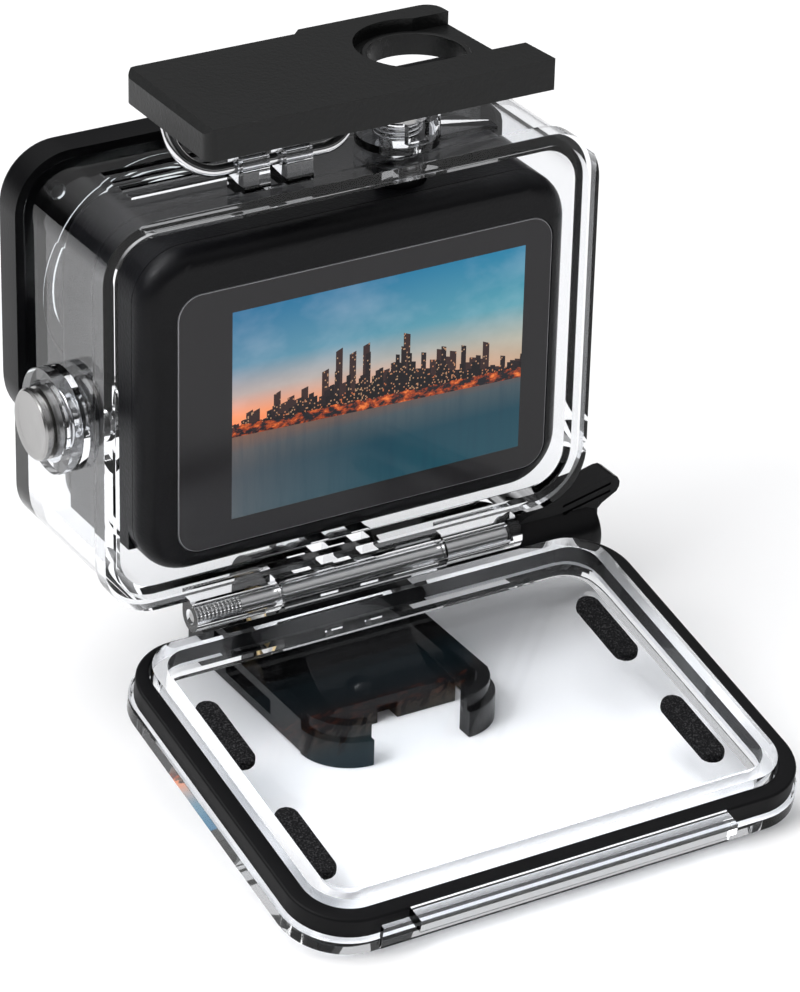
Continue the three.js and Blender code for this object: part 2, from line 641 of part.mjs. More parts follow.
const door = new THREE.Group();
door.position.set(0, hingeY, hingeZ);
door.rotation.x = doorOpen;
object.add(door);

const doorLeft = frameLeft - DOOR_OVERHANG;
const doorRight = frameRight + DOOR_OVERHANG;
const rimLeft = frameLeft + FLANGE_LIP + RIM_CLEAR;
const rimRight = frameRight - FLANGE_LIP - RIM_CLEAR;
const rimBottom = barrelDrop + FLANGE_LIP + RIM_CLEAR;
const rimTop = frameTop - hingeZ - FLANGE_LIP - RIM_CLEAR;

function doorPanel() {
  const slabOut = roundedSlab(doorLeft, DOOR_BOTTOM, doorRight, doorTop, FRAME_R + 1, -DOOR_T, -SEAT_BACK);
  const rim = roundedSlab(rimLeft, rimBottom, rimRight, rimTop, FRAME_R - 2.2, -DOOR_T + 1, RIM_IN);
  const tray = roundedSlab(
    rimLeft + RIM_T, rimBottom + RIM_T, rimRight - RIM_T, rimTop - RIM_T,
    FRAME_R - 4, -DOOR_T + WINDOW_T, RIM_IN + 1,
  );
  const lipFrom = LIP_X - LIP_W / 2;
  const lipTo = LIP_X + LIP_W / 2;
  const lipFoot = doorTop - 0.2;
  const ridge = block(lipFrom, LIP_BACK, lipFoot, lipTo, LIP_AHEAD, doorTop + LIP_H);
  const rootFrom = lipFrom - LIP_ROOT;
  const rootTo = lipTo + 1;
  const root = block(rootFrom, -SEAT_BACK - 0.5, lipFoot, rootTo, LIP_BACK + 0.1, doorTop + 0.5);
  const rootBase = block(rootFrom, -DOOR_T + 1, doorTop - 1.5, rootTo, -SEAT_BACK - 0.1, doorTop + 0.5);
  const knuckleFrom = KNUCKLE_A + KNUCKLE_GAP;
  const knuckleTo = KNUCKLE_B - KNUCKLE_GAP;
  const knuckle = bar('x', BARREL_R, knuckleFrom, knuckleTo, 0, 0, 20);
  const web = block(knuckleFrom, -BARREL_R, 0, knuckleTo, -0.6, DOOR_BOTTOM + 0.3);
  const foot = block(knuckleFrom, -SEAT_BACK - 1.2, 1, knuckleTo, -BARREL_R + 0.4, DOOR_BOTTOM + 0.3);
  const pinBore = bar('x', PIN_R + RUN_GAP, KNUCKLE_A, KNUCKLE_B, 0, 0, 16);
  return carve(slabOut, [rim, ridge, root, rootBase, knuckle, web, foot], [tray, pinBore]);
}
add('door_panel', doorPanel(), looks.clear, door);

// tall rubber band around the rim, squeezed by the flange when the door is shut
function doorGasket() {
  const band = roundedSlab(
    frameLeft - GASKET_OUT, DOOR_BOTTOM + 0.6, frameRight + GASKET_OUT, frameTop - hingeZ + GASKET_OUT,
    FRAME_R + GASKET_OUT, -SEAT_BACK + TURN_GAP, -SEAT_BACK + TURN_GAP + GASKET_T,
  );
  const inner = roundedSlab(
    rimLeft - TURN_GAP, rimBottom - TURN_GAP, rimRight + TURN_GAP, rimTop + TURN_GAP,
    FRAME_R - 1.9, -DOOR_T, RIM_IN,
  );
  return carve(band, [], [inner]);
}
add('door_gasket', doorGasket(), looks.rubber, door);

const trayFloor = -DOOR_T + WINDOW_T;
const padSpots = [];
for (const side of [-1, 1]) {
  for (const along of [0.29, 0.71]) padSpots.push([side * (rimRight - RIM_T - PAD_IN),
    rimBottom + along * (rimTop - rimBottom)]);
}
padSpots.forEach(([x, u], i) => {
  add(`foam_pad_${i + 1}`, roundedSlab(
    x - PAD_W / 2, u - PAD_L / 2, x + PAD_W / 2, u + PAD_L / 2,
    PAD_W / 2 - 0.01, trayFloor + TURN_GAP, trayFloor + TURN_GAP + PAD_T,
  ), looks.foam, door);
});

// ---------------------------------------------------------------- latch

const stub = 3.4; // wire ends turned back into the lever
const topPoint = (x) => new THREE.Vector3(x, pivotY, pivotZ);
const lowPoint = (x) => new THREE.Vector3(x, bailY, bailZ);
const bailPath = bentPath(
  [topPoint(BAIL_LEFT + stub), topPoint(BAIL_LEFT), lowPoint(BAIL_LEFT), lowPoint(BAIL_RIGHT),
    topPoint(BAIL_RIGHT),
    topPoint(BAIL_RIGHT - stub)],
  [0, 1.5, BAIL_BEND, BAIL_BEND, 1.5, 0],
);
add('latch_bail', wireAlong(bailPath, WIRE_R, 64), looks.steel);

function latchLever() {
  const plan = new THREE.Shape();
  plan.moveTo(LEVER_LEFT, LEVER_BACK + 2);
  plan.quadraticCurveTo(LEVER_LEFT, LEVER_BACK, LEVER_LEFT + 2, LEVER_BACK);
  plan.lineTo(LEVER_RIGHT + 0.8, LEVER_BACK);
  plan.lineTo(LEVER_RIGHT + 0.2, POCKET_BACK);
  plan.lineTo(LEVER_RIGHT - 2.4, POCKET_BACK + 0.8);
  plan.lineTo(LEVER_RIGHT - 3.4, LEVER_FRONT - 2.4);
  plan.quadraticCurveTo(LEVER_RIGHT - 3.6, LEVER_FRONT, LEVER_RIGHT - 6, LEVER_FRONT);
  plan.lineTo(0, LEVER_FRONT);
  plan.lineTo(-1.2, LEVER_FRONT - 1.2);
  plan.lineTo(LEVER_LEFT + 2, LEVER_FRONT - 1.2);
  plan.quadraticCurveTo(LEVER_LEFT, LEVER_FRONT - 1.2, LEVER_LEFT, LEVER_FRONT - 3);
  const outer = tile(plan, leverBottom, leverTop, 3);
  const hollowTop = leverTop - LEVER_TOP_T;
  const hollowLeft = block(
    LEVER_LEFT + LEVER_END, LEVER_BACK + LEVER_SKIRT, leverBottom - 1,
    holeX - HOLE_R - 1.3, LEVER_FRONT - 1.2 - LEVER_SKIRT, hollowTop,
  );
  const barHollow = block(
    holeX - HOLE_R - 2, LEVER_BACK + LEVER_SKIRT, leverBottom - 1, LEVER_RIGHT - 1, holeY - HOLE_R - 0.3,
      hollowTop,
  );
  const hole = bar('z', HOLE_R, leverBottom - 1, leverTop + 1, holeX, holeY, 28);
  const pocketRound = bar('z', POCKET_R, leverTop - POCKET_DEPTH, leverTop + 1, holeX, holeY, 28);
  const pocketRun = block(
    holeX, POCKET_BACK, leverTop - POCKET_DEPTH, LEVER_RIGHT + 3,
      Math.min(holeY + POCKET_R - 1, LEVER_FRONT - 3), leverTop + 1,
  );
  const keep = block(
    LEVER_LEFT - 1, LEVER_BACK - 1, leverBottom - 1, LEVER_RIGHT + 3, POCKET_BACK, leverTop + 2,
  );
  const pocket = toGeometry(solid(pocketRound).add(solid(pocketRun)).subtract(solid(keep)));
  // ears that carry the wire ends
  const ears = [BAIL_LEFT + 1.9, BAIL_RIGHT - 1.9 - 2.2].map((x) => block(x, pivotY - 1.9, pivotZ - 1.5,
    x + 2.2, pivotY + 1.9, hollowTop + 0.5));
  const wireBore = bar('x', WIRE_R + RUN_GAP, BAIL_LEFT - 1.4, BAIL_RIGHT + 1.4, pivotY, pivotZ, 16);
  const body = solid(outer).subtract(solid(hollowLeft)).subtract(solid(barHollow)).subtract(solid(pocket));
  let lever = body;
  for (const ear of ears) lever = lever.add(solid(ear));
  return toGeometry(lever.subtract(solid(wireBore)).subtract(solid(hole)));
}
add('latch_lever', latchLever(), looks.blackPlastic);

// ---------------------------------------------------------------- camera

function cameraShell() {
  const from = camRear + BEZEL_D + REST_GAP;
  const outer = roundedSlab(camLeft, camBottom, camRight, camTop, CAMERA_R, from, camFront);
  const w = CAMERA_WALL;
  const inner = roundedSlab(camLeft + w, camBottom + w, camRight - w, camTop - w, CAMERA_R - w, from - 1,
    camFront - w);
  const half = LENS_COVER / 2 - 1.5;
  const lensHole = roundedSlab(lensX - half, lensZ - half, lensX + half, lensZ + half, 2.5, camFront - 3,
    camFront + 1);
  const shutterHole = bar('z', 4.2, camTop - 3, camTop + 1, SHUTTER_X, SHUTTER_Y, 20);
  const modeHole = block(camLeft - 1, SIDE_Y - 2.2, SIDE_Z - 4.7, camLeft + 3, SIDE_Y + 2.2, SIDE_Z + 4.7);
  const doorHole = block(camLeft - 1, batteryDoorY0, camBottom + 3, camLeft + 3, batteryDoorY1,
    batteryDoorTop);
  return carve(outer, [], [inner, lensHole, shutterHole, modeHole, doorHole]);
}
const batteryDoorY0 = camRear + BEZEL_D + 1.6;
const batteryDoorY1 = camFront - 2.6;
const batteryDoorTop = camBottom + 16.4;
add('camera_shell', cameraShell(), looks.bodyPlastic);

const glassX0 = camLeft + GLASS_LEFT;
const glassX1 = camRight - GLASS_RIGHT;
const glassZ0 = camBottom + GLASS_BELOW;
const glassZ1 = camTop - GLASS_ABOVE;
const glassInset = 1.6;

function rearBezel() {
  const outer = roundedSlab(camLeft, camBottom, camRight, camTop, CAMERA_R, camRear, camRear + BEZEL_D);
  const pocket = roundedSlab(
    glassX0 - REST_GAP, glassZ0 - REST_GAP, glassX1 + REST_GAP, glassZ1 + REST_GAP,
    GLASS_R, camRear - 1, camRear + GLASS_T + REST_GAP,
  );
  const opening = roundedSlab(
    glassX0 + glassInset, glassZ0 + glassInset, glassX1 - glassInset,
      glassZ1 - glassInset,
    GLASS_R - 1, camRear - 1, camRear + BEZEL_D + 1,
  );
  return carve(outer, [], [pocket, opening]);
}
add('rear_bezel', rearBezel(), looks.bodyPlastic);
add('touchscreen_glass', roundedSlab(
  glassX0, glassZ0, glassX1, glassZ1, GLASS_R, camRear, camRear + GLASS_T,
), looks.glossBlack);

const displayBack = camRear + GLASS_T + REST_GAP + 1.4;
add('display_panel', block(
  glassX0 + PICTURE_LEFT - 1, camRear + GLASS_T + REST_GAP, glassZ0 + PICTURE_EDGE - 1,
  glassX1 - PICTURE_RIGHT + 1, displayBack, glassZ1 - PICTURE_EDGE + 1,
), looks.screen);

const spreaderBack = displayBack + REST_GAP + 0.8;
add('heat_spreader', block(
  glassX0 + 3, displayBack + REST_GAP, glassZ0 + 2.4, glassX1 - 3, spreaderBack,
    glassZ1 - 2.4,
), looks.aluminium);
const boardBack = spreaderBack + REST_GAP + 1.2;
add('main_board', block(
  camLeft + CAMERA_WALL + 3, spreaderBack + REST_GAP, camBottom + CAMERA_WALL + 3,
  camRight - CAMERA_WALL - 1.8, boardBack, camTop - CAMERA_WALL - 3,
), looks.board);

const SENSOR_HALF = 9; // half side of the sensor's board
const batteryTop = lensZ - SENSOR_HALF - 3.5;
add('battery', roundedSlab(
  camLeft + CAMERA_WALL + 2.4, camBottom + CAMERA_WALL + 1.5, camLeft + CAMERA_WALL + 38, batteryTop,
  1.5, boardBack + REST_GAP, boardBack + REST_GAP + 11,
), looks.cell);
add('battery_door', block(
  camLeft + 0.2, batteryDoorY0 + REST_GAP, camBottom + 3 + REST_GAP,
  camLeft + CAMERA_WALL - 0.2, batteryDoorY1 - REST_GAP, batteryDoorTop - REST_GAP,
), looks.bodyPlastic);
add('memory_card', block(
  camLeft + CAMERA_WALL + 3, boardBack + REST_GAP, batteryTop + 0.3, camLeft + CAMERA_WALL + 14,
    boardBack + 1.1, batteryTop + 9,
), looks.cell);
add('speaker', block(
  camRight - CAMERA_WALL - 18.2, boardBack + REST_GAP, camBottom + CAMERA_WALL + REST_GAP,
  camRight - CAMERA_WALL - 6.2, boardBack + 6, camBottom + CAMERA_WALL + 8,
), looks.cell);

const sensorFrom = boardBack + 1.6;
add('sensor_board', block(
  lensX - SENSOR_HALF, sensorFrom, lensZ - SENSOR_HALF, lensX + SENSOR_HALF, sensorFrom + 1,
    lensZ + SENSOR_HALF,
), looks.board);
add('image_sensor', block(
  lensX - 4.2, sensorFrom + 1 + REST_GAP, lensZ - 3.4, lensX + 4.2, sensorFrom + 2.2, lensZ + 3.4,
), looks.glossBlack);
const barrelFrom = sensorFrom + 2.2 + REST_GAP;
const barrelTo = camFront + LENS_COVER_D - 2.4;
add('lens_barrel', carve(
  bar('y', 7.6, barrelFrom, barrelTo, lensX, lensZ, 24),
    [bar('y', 8.6, barrelFrom, barrelFrom + 1.4, lensX, lensZ, 24)],
  [bar('y', 6.2, barrelFrom - 1, barrelTo - 2.2, lensX, lensZ, 24),
    bar('y', 5.4, barrelTo - 3, barrelTo + 1, lensX, lensZ, 24)],
), looks.blackPlastic);
const dome = new THREE.LatheGeometry([
  new THREE.Vector2(0, 0), new THREE.Vector2(5.2, 0), new THREE.Vector2(5.2, 0.8),
  new THREE.Vector2(3.8, 1.4), new THREE.Vector2(2, 1.7), new THREE.Vector2(0, 1.8),
], 24);
add('lens_front_element', dome.translate(lensX, barrelTo - 2.1, lensZ), looks.glass);

function lensCover() {
  const half = LENS_COVER / 2;
  const from = camFront + REST_GAP;
  const to = camFront + LENS_COVER_D;
  const outer = roundedSlab(lensX - half, lensZ - half, lensX + half, lensZ + half, 4, from, to);
  const room = bar('y', 7.9, from - 1, to - 1, lensX, lensZ, 24);
  const eye = bar('y', 6.6, from, to + 1, lensX, lensZ, 24);
  return carve(outer, [], [room, eye]);
}
add('lens_cover', lensCover(), looks.glossBlack);

// buttons of the camera and the domes that return them
add('camera_shutter_button', carve(
  bar('z', 3.9, camTop - CAMERA_WALL + 0.2, camTop + BUTTON_PROUD, SHUTTER_X, SHUTTER_Y, 24),
  [bar('z', 5, camTop - CAMERA_WALL - 0.7, camTop - CAMERA_WALL - REST_GAP, SHUTTER_X, SHUTTER_Y, 24),
    bar('z', 3.9, camTop - CAMERA_WALL - 0.4, camTop, SHUTTER_X, SHUTTER_Y, 24)],
), looks.bodyPlastic);
const shutterDomeTop = camTop - CAMERA_WALL - 1.0;
add('shutter_dome', bar('z', 2.6, shutterDomeTop - 1.1, shutterDomeTop - 0.1, SHUTTER_X, SHUTTER_Y, 16),
  looks.steel);
add('camera_mode_button', carve(
  block(camLeft - 0.5, SIDE_Y - 2, SIDE_Z - 4.5, camLeft + CAMERA_WALL - 0.2, SIDE_Y + 2, SIDE_Z + 4.5),
  [block(camLeft + CAMERA_WALL + REST_GAP, SIDE_Y - 2.8, SIDE_Z - 5.3, camLeft + CAMERA_WALL + 0.7,
    SIDE_Y + 2.8, SIDE_Z + 5.3),
    block(camLeft, SIDE_Y - 2, SIDE_Z - 4.5, camLeft + CAMERA_WALL + 0.5, SIDE_Y + 2, SIDE_Z + 4.5)],
), looks.bodyPlastic);
const modeDomeFrom = camLeft + CAMERA_WALL + 1.0;
add('mode_dome', bar('x', 2, modeDomeFrom, modeDomeFrom + 1, SIDE_Y, SIDE_Z, 16), looks.steel);

export default object;
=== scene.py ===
"""Looks of the action camera in its open waterproof housing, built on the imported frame."""

import math

import bmesh
import bpy
from mathutils import Matrix, Vector, noise


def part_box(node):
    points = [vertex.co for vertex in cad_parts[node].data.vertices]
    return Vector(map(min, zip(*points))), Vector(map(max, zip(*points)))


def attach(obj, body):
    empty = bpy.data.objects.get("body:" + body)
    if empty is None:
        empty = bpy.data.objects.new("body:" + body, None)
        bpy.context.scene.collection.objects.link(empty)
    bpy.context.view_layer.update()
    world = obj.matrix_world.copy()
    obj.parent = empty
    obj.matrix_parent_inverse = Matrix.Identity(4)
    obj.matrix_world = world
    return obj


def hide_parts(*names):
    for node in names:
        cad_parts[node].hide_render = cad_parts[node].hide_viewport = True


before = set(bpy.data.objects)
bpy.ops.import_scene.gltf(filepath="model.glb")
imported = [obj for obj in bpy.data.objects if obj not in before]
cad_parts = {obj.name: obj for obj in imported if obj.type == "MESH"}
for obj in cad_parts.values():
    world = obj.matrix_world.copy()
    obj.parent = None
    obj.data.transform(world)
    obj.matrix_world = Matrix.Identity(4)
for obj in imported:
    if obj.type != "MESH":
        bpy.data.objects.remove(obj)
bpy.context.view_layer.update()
MM = 0.001
TAU = 2 * math.pi


# ------------------------------------------------------------------ frame measures (mm)

def span(node):
    low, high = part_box(node)
    return low / MM, high / MM


glass_low, glass_high = span("touchscreen_glass")
cover_low, cover_high = span("lens_cover")
body_low, body_high = span("camera_shell")
bez_low, bez_high = span("rear_bezel")

CAM_L, CAM_R = body_low.x, body_high.x
CAM_B, CAM_T = body_low.z, body_high.z
CAM_REAR, CAM_FRONT = bez_low.y, body_high.y
BEZEL_D = bez_high.y - bez_low.y
LENS_X = (cover_low.x + cover_high.x) / 2
LENS_Z = (cover_low.z + cover_high.z) / 2

WALL = 2.2
FLANGE_D = 3.2
FLANGE_LIP = 1.7  # flange's width round the mouth
FLANGE_STEP = 0.75  # flange past the box's walls
FRAME_R = 8.0  # corner of the flange
IN_L, IN_R = CAM_L - 3.6, CAM_R + 0.6
IN_B, IN_T = CAM_B - 0.3, CAM_T + 3.5
BOX_L, BOX_R, BOX_B, BOX_T = IN_L - WALL, IN_R + WALL, IN_B - WALL, IN_T + WALL
FR_L, FR_R = BOX_L - FLANGE_STEP, BOX_R + FLANGE_STEP
FR_B, FR_T = BOX_B - FLANGE_STEP, BOX_T + FLANGE_STEP
FRONT = 28.7  # outer face of the housing's front wall
HINGE_Z = FR_B - 2.5
DOOR_TOP = FR_T + 1.1 - HINGE_Z
DOOR_T = 6.0
# the door leans on the table with its far edge
DOOR_TIP = math.hypot(DOOR_TOP, DOOR_T)
DOOR_OPEN = math.pi / 2 + math.asin(HINGE_Z / DOOR_TIP) - math.atan(DOOR_T / DOOR_TOP)
SEAT = 3.3  # door's flat behind the closing plane
MOUTH = 1.5  # depth of the step in the housing's mouth
PIVOT_Y, PIVOT_Z = 8.0, 11.3  # thumb screw
BAIL_Y, BAIL_Z = 4.5, FR_T + 3.1  # lower end of the wire bail
LEAN = math.radians(35)
REACH = 10.6
TOP_Y, TOP_Z = BAIL_Y + REACH * math.sin(LEAN), BAIL_Z + REACH * math.cos(LEAN)
LEVER_B = FR_T + 10.4
LEVER_T = LEVER_B + 4.5
SH_X, SH_Y = 11.8, 10.2  # top plunger's axis
SD_Y, SD_Z = 13.0, 46.3  # side plunger's axis


# ------------------------------------------------------------------ mesh helpers (mm)

def link(name, verts, faces):
    mesh = bpy.data.meshes.new(name)
    mesh.from_pydata([(x * MM, y * MM, z * MM) for x, y, z in verts], [], faces)
    mesh.update()
    obj = bpy.data.objects.new(name, mesh)
    bpy.context.scene.collection.objects.link(obj)
    return obj


def place(axis, a, b, depth):
    """A point from two drawn coordinates and a depth along axis."""
    if axis == "x":
        return (depth, a, b)
    if axis == "y":
        return (a, depth, b)
    return (a, b, depth)


def fix_normals(obj):
    bm = bmesh.new()
    bm.from_mesh(obj.data)
    bmesh.ops.recalc_face_normals(bm, faces=bm.faces)
    bm.to_mesh(obj.data)
    bm.free()
    return obj


def prism(points, axis, start, end):
    n = len(points)
    verts = [place(axis, a, b, depth) for depth in (start, end) for a, b in points]
    faces = [tuple(range(n)), tuple(range(2 * n - 1, n - 1, -1))]
    faces += [(i, (i + 1) % n, n + (i + 1) % n, n + i) for i in range(n)]
    return fix_normals(link("solid", verts, faces))


def box(x0, y0, z0, x1, y1, z1):
    return prism([(x0, z0), (x1, z0), (x1, z1), (x0, z1)], "y", y0, y1)


def arc(cu, cv, r, a0, a1, n):
    turns = [a0 + (a1 - a0) * i / n for i in range(n + 1)]
    return [(cu + r * math.cos(a), cv + r * math.sin(a)) for a in turns]


def rounded(x0, z0, x1, z1, r, n=10):
    q = math.pi / 2
    return (arc(x1 - r, z0 + r, r, -q, 0, n) + arc(x1 - r, z1 - r, r, 0, q, n)
            + arc(x0 + r, z1 - r, r, q, 2 * q, n) + arc(x0 + r, z0 + r, r, 2 * q, 3 * q, n))


def bar(axis, r, start, end, u, v, n=48):
    return prism(arc(u, v, r, 0, TAU, n)[:-1], axis, start, end)


def lathe(profile, axis, u, v, n=64):
    """A closed (radius, depth) profile turned about an axis; a point at radius 0 is shared."""
    verts, rings = [], []
    turns = [TAU * i / n for i in range(n)]
    for r, d in profile:
        if r < 1e-6:
            verts.append(place(axis, u, v, d))
            rings.append([len(verts) - 1] * n)
        else:
            start = len(verts)
            verts += [place(axis, u + r * math.cos(a), v + r * math.sin(a), d) for a in turns]
            rings.append(list(range(start, start + n)))
    faces = []
    for a, b in zip(rings, rings[1:] + rings[:1]):
        for i in range(n):
            j = (i + 1) % n
            quad = []
            for k in (a[i], a[j], b[j], b[i]):
                if k not in quad:
                    quad.append(k)
            if len(quad) > 2:
                faces.append(tuple(quad))
    return fix_normals(link("solid", verts, faces))


def loft(rings, closed=False):
    """Rings of one count joined in order; the ends are capped unless the stack closes on itself."""
    n = len(rings[0])
    verts = [p for ring in rings for p in ring]
    faces = []
    pairs = list(zip(range(len(rings)), range(1, len(rings))))
    if closed:
        pairs.append((len(rings) - 1, 0))
    for a, b in pairs:
        for i in range(n):
            j = (i + 1) % n
            faces.append((a * n + i, a * n + j, b * n + j, b * n + i))
    if not closed:
        faces += [tuple(range(n)), tuple(range(len(verts) - 1, len(verts) - n - 1, -1))]
    return fix_normals(link("solid", verts, faces))


def frame_loft(x0, z0, x1, z1, r, steps, n=10):
    """Rounded rectangles drawn in X-Z; steps are (inset, y)."""
    rings = []
    for inset, y in steps:
        ring = rounded(x0 + inset, z0 + inset, x1 - inset, z1 - inset, max(r - inset, 0.15), n)
        rings.append([(a, y, b) for a, b in ring])
    return loft(rings)


def carve(first, adds=(), cuts=()):
    """Solids added to the first one, then others cut from it; the tools are used up."""
    tools = list(adds) + list(cuts)
    for i, tool in enumerate(tools):
        mod = first.modifiers.new("b", "BOOLEAN")
        mod.object = tool
        mod.operation = "UNION" if i < len(adds) else "DIFFERENCE"
        mod.solver = "MANIFOLD"
    bake(first)
    for tool in tools:
        bpy.data.objects.remove(tool)
    return first


def bake(obj):
    """Modifiers applied to the mesh."""
    bpy.context.view_layer.update()
    graph = bpy.context.evaluated_depsgraph_get()
    mesh = bpy.data.meshes.new_from_object(obj.evaluated_get(graph))
    obj.modifiers.clear()
    obj.data = mesh
    return obj


def soften(obj, width=0.2, segments=2, angle=32):
    """Flat faces merged, edges rounded, normals weighted by face size."""
    bm = bmesh.new()
    bm.from_mesh(obj.data)
    bmesh.ops.remove_doubles(bm, verts=bm.verts, dist=1e-6)
    bmesh.ops.dissolve_limit(bm, angle_limit=math.radians(0.8), verts=bm.verts, edges=bm.edges)
    bm.to_mesh(obj.data)
    bm.free()
    if width:
        mod = obj.modifiers.new("edge", "BEVEL")
        mod.width = width * MM
        mod.segments = segments
        mod.limit_method = "ANGLE"
        mod.angle_limit = math.radians(angle)
        mod.use_clamp_overlap = True
        mod.miter_outer = "MITER_ARC"
        bake(obj)
    return smooth(obj)


def smooth(obj, angle=38):
    obj.data.shade_smooth()
    obj.data.set_sharp_from_angle(angle=math.radians(angle))
    mod = obj.modifiers.new("normals", "WEIGHTED_NORMAL")
    mod.keep_sharp = True
    return obj


def tube(points, radius, n=12):
    """Round wire through dense points."""
    pts = [Vector(p) for p in points]
    rings, up = [], None
    for i, p in enumerate(pts):
        t = (pts[min(i + 1, len(pts) - 1)] - pts[max(i - 1, 0)]).normalized()
        if up is None:
            up = t.orthogonal().normalized()
        up = (up - t * up.dot(t)).normalized()
        side = t.cross(up)
        turns = [TAU * k / n for k in range(n)]
        rings.append([tuple(p + radius * (up * math.cos(a) + side * math.sin(a))) for a in turns])
    return smooth(loft(rings))


def keep(obj, name, body, nodes, mat):
    """A finished piece: its name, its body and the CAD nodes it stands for."""
    obj.name = name
    obj.data.name = name
    obj.data.materials.clear()
    obj.data.materials.append(mat)
    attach(obj, body)
    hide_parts(*nodes)
    return obj


# ------------------------------------------------------------------ material helpers

class Nodes:
    """Short calls for building a material's node tree."""

    def __init__(self, name):
        self.mat = bpy.data.materials.new(name)
        self.mat.use_nodes = True
        self.tree = self.mat.node_tree
        self.bsdf = self.tree.nodes["Principled BSDF"]
        self.out = self.tree.nodes["Material Output"]
        self.coord = self.tree.nodes.new("ShaderNodeTexCoord").outputs["Object"]

    def new(self, kind, **inputs):
        node = self.tree.nodes.new("ShaderNode" + kind)
        for key, value in inputs.items():
            self.put(node.inputs[key.replace("_", " ")], value)
        return node

    def put(self, socket, value):
        if isinstance(value, bpy.types.NodeSocket):
            self.tree.links.new(value, socket)
        else:
            socket.default_value = value

    def math(self, op, a, b=0.0):
        node = self.tree.nodes.new("ShaderNodeMath")
        node.operation = op
        self.put(node.inputs[0], a)
        self.put(node.inputs[1], b)
        return node.outputs[0]

    def noise(self, scale, detail=3.0, rough=0.5, vector=None):
        node = self.new("TexNoise", Scale=scale, Detail=detail, Roughness=rough)
        self.put(node.inputs["Vector"], vector or self.coord)
        return node.outputs["Fac"]

    def ramp(self, fac, stops):
        node = self.tree.nodes.new("ShaderNodeValToRGB")
        ramp = node.color_ramp
        while len(ramp.elements) < len(stops):
            ramp.elements.new(0.5)
        for element, (pos, color) in zip(ramp.elements, stops):
            element.position = pos
            element.color = (*color, 1) if len(color) == 3 else color
        self.put(node.inputs[0], fac)
        return node.outputs[0]

    def span(self, fac, low, high):
        node = self.new("MapRange")
        self.put(node.inputs["Value"], fac)
        node.inputs["To Min"].default_value = low
        node.inputs["To Max"].default_value = high
        return node.outputs[0]

    def mix(self, fac, a, b):
        node = self.tree.nodes.new("ShaderNodeMix")
        node.data_type = "RGBA"
        self.put(node.inputs[0], fac)
        self.put(node.inputs[6], a if isinstance(a, bpy.types.NodeSocket) else (*a, 1))
        self.put(node.inputs[7], b if isinstance(b, bpy.types.NodeSocket) else (*b, 1))
        return node.outputs[2]

    def split(self, vector=None):
        node = self.tree.nodes.new("ShaderNodeSeparateXYZ")
        self.put(node.inputs[0], vector or self.coord)
        return node.outputs

    def bump(self, height, strength, distance):
        node = self.new("Bump", Strength=strength, Distance=distance)
        self.put(node.inputs["Height"], height)
        self.put(self.bsdf.inputs["Normal"], node.outputs[0])
        return node

    def set(self, **inputs):
        for key, value in inputs.items():
            self.put(self.bsdf.inputs[key.replace("_", " ")], value)
        return self


def clear_plastic(name, tint, rough, ior=1.36, gloss=0.3):
    """Clear moulding, lightly worn; shadow rays pass through it, so it throws a thin shadow."""
    n = Nodes(name)
    n.set(Base_Color=(*tint, 1), Transmission_Weight=1.0, IOR=ior, Specular_IOR_Level=gloss)
    wear = n.noise(140, 4, 0.6)
    n.set(Roughness=n.span(wear, rough * 0.5, rough * 1.6))
    n.bump(n.noise(45, 2), 0.02, 0.0001)
    path = n.tree.nodes.new("ShaderNodeLightPath")
    through = n.new("BsdfTransparent")
    through.inputs["Color"].default_value = (0.88, 0.89, 0.905, 1)
    mix = n.tree.nodes.new("ShaderNodeMixShader")
    n.put(mix.inputs[0], path.outputs["Is Shadow Ray"])
    n.put(mix.inputs[1], n.bsdf.outputs[0])
    n.put(mix.inputs[2], through.outputs[0])
    n.put(n.out.inputs["Surface"], mix.outputs[0])
    return n.mat


def moulded(name, color, rough, grain=2600.0, depth=0.00004, spec=0.2, spread=0.06):
    """Moulded plastic: fine spark-eroded grain, slight tone drift, smudges in the gloss."""
    n = Nodes(name)
    pits = n.noise(grain, 3, 0.6)
    drift = n.noise(35, 4, 0.6)
    dark = tuple(c * 0.75 for c in color)
    lift = tuple(min(1, c * 1.35 + 0.002) for c in color)
    n.set(Base_Color=n.mix(drift, dark, lift), Specular_IOR_Level=spec)
    n.set(Roughness=n.span(drift, rough - spread, rough + spread))
    n.bump(pits, 0.55, depth)
    return n.mat


def metal(name, color, rough, axis=None, centre=(0, 0, 0), rings=900.0, depth=0.00001):
    """Bare metal; with an axis, fine turned rings round it."""
    n = Nodes(name)
    n.set(Metallic=1.0)
    streak = n.noise(420, 2, 0.5)
    n.set(Base_Color=n.mix(streak, tuple(c * 0.86 for c in color), color))
    n.set(Roughness=n.span(n.noise(160, 3), rough * 0.75, rough * 1.3))
    if axis:
        shift = n.tree.nodes.new("ShaderNodeVectorMath")
        shift.operation = "SUBTRACT"
        n.put(shift.inputs[0], n.coord)
        shift.inputs[1].default_value = [c * MM for c in centre]
        parts = n.split(shift.outputs[0])
        u, v = [parts[i] for i in range(3) if i != "xyz".index(axis)]
        radius = n.math("SQRT", n.math("ADD", n.math("MULTIPLY", u, u), n.math("MULTIPLY", v, v)))
        lines = n.math("SINE", n.math("MULTIPLY", radius, rings * TAU))
        n.bump(lines, 0.5, depth)
    return n.mat


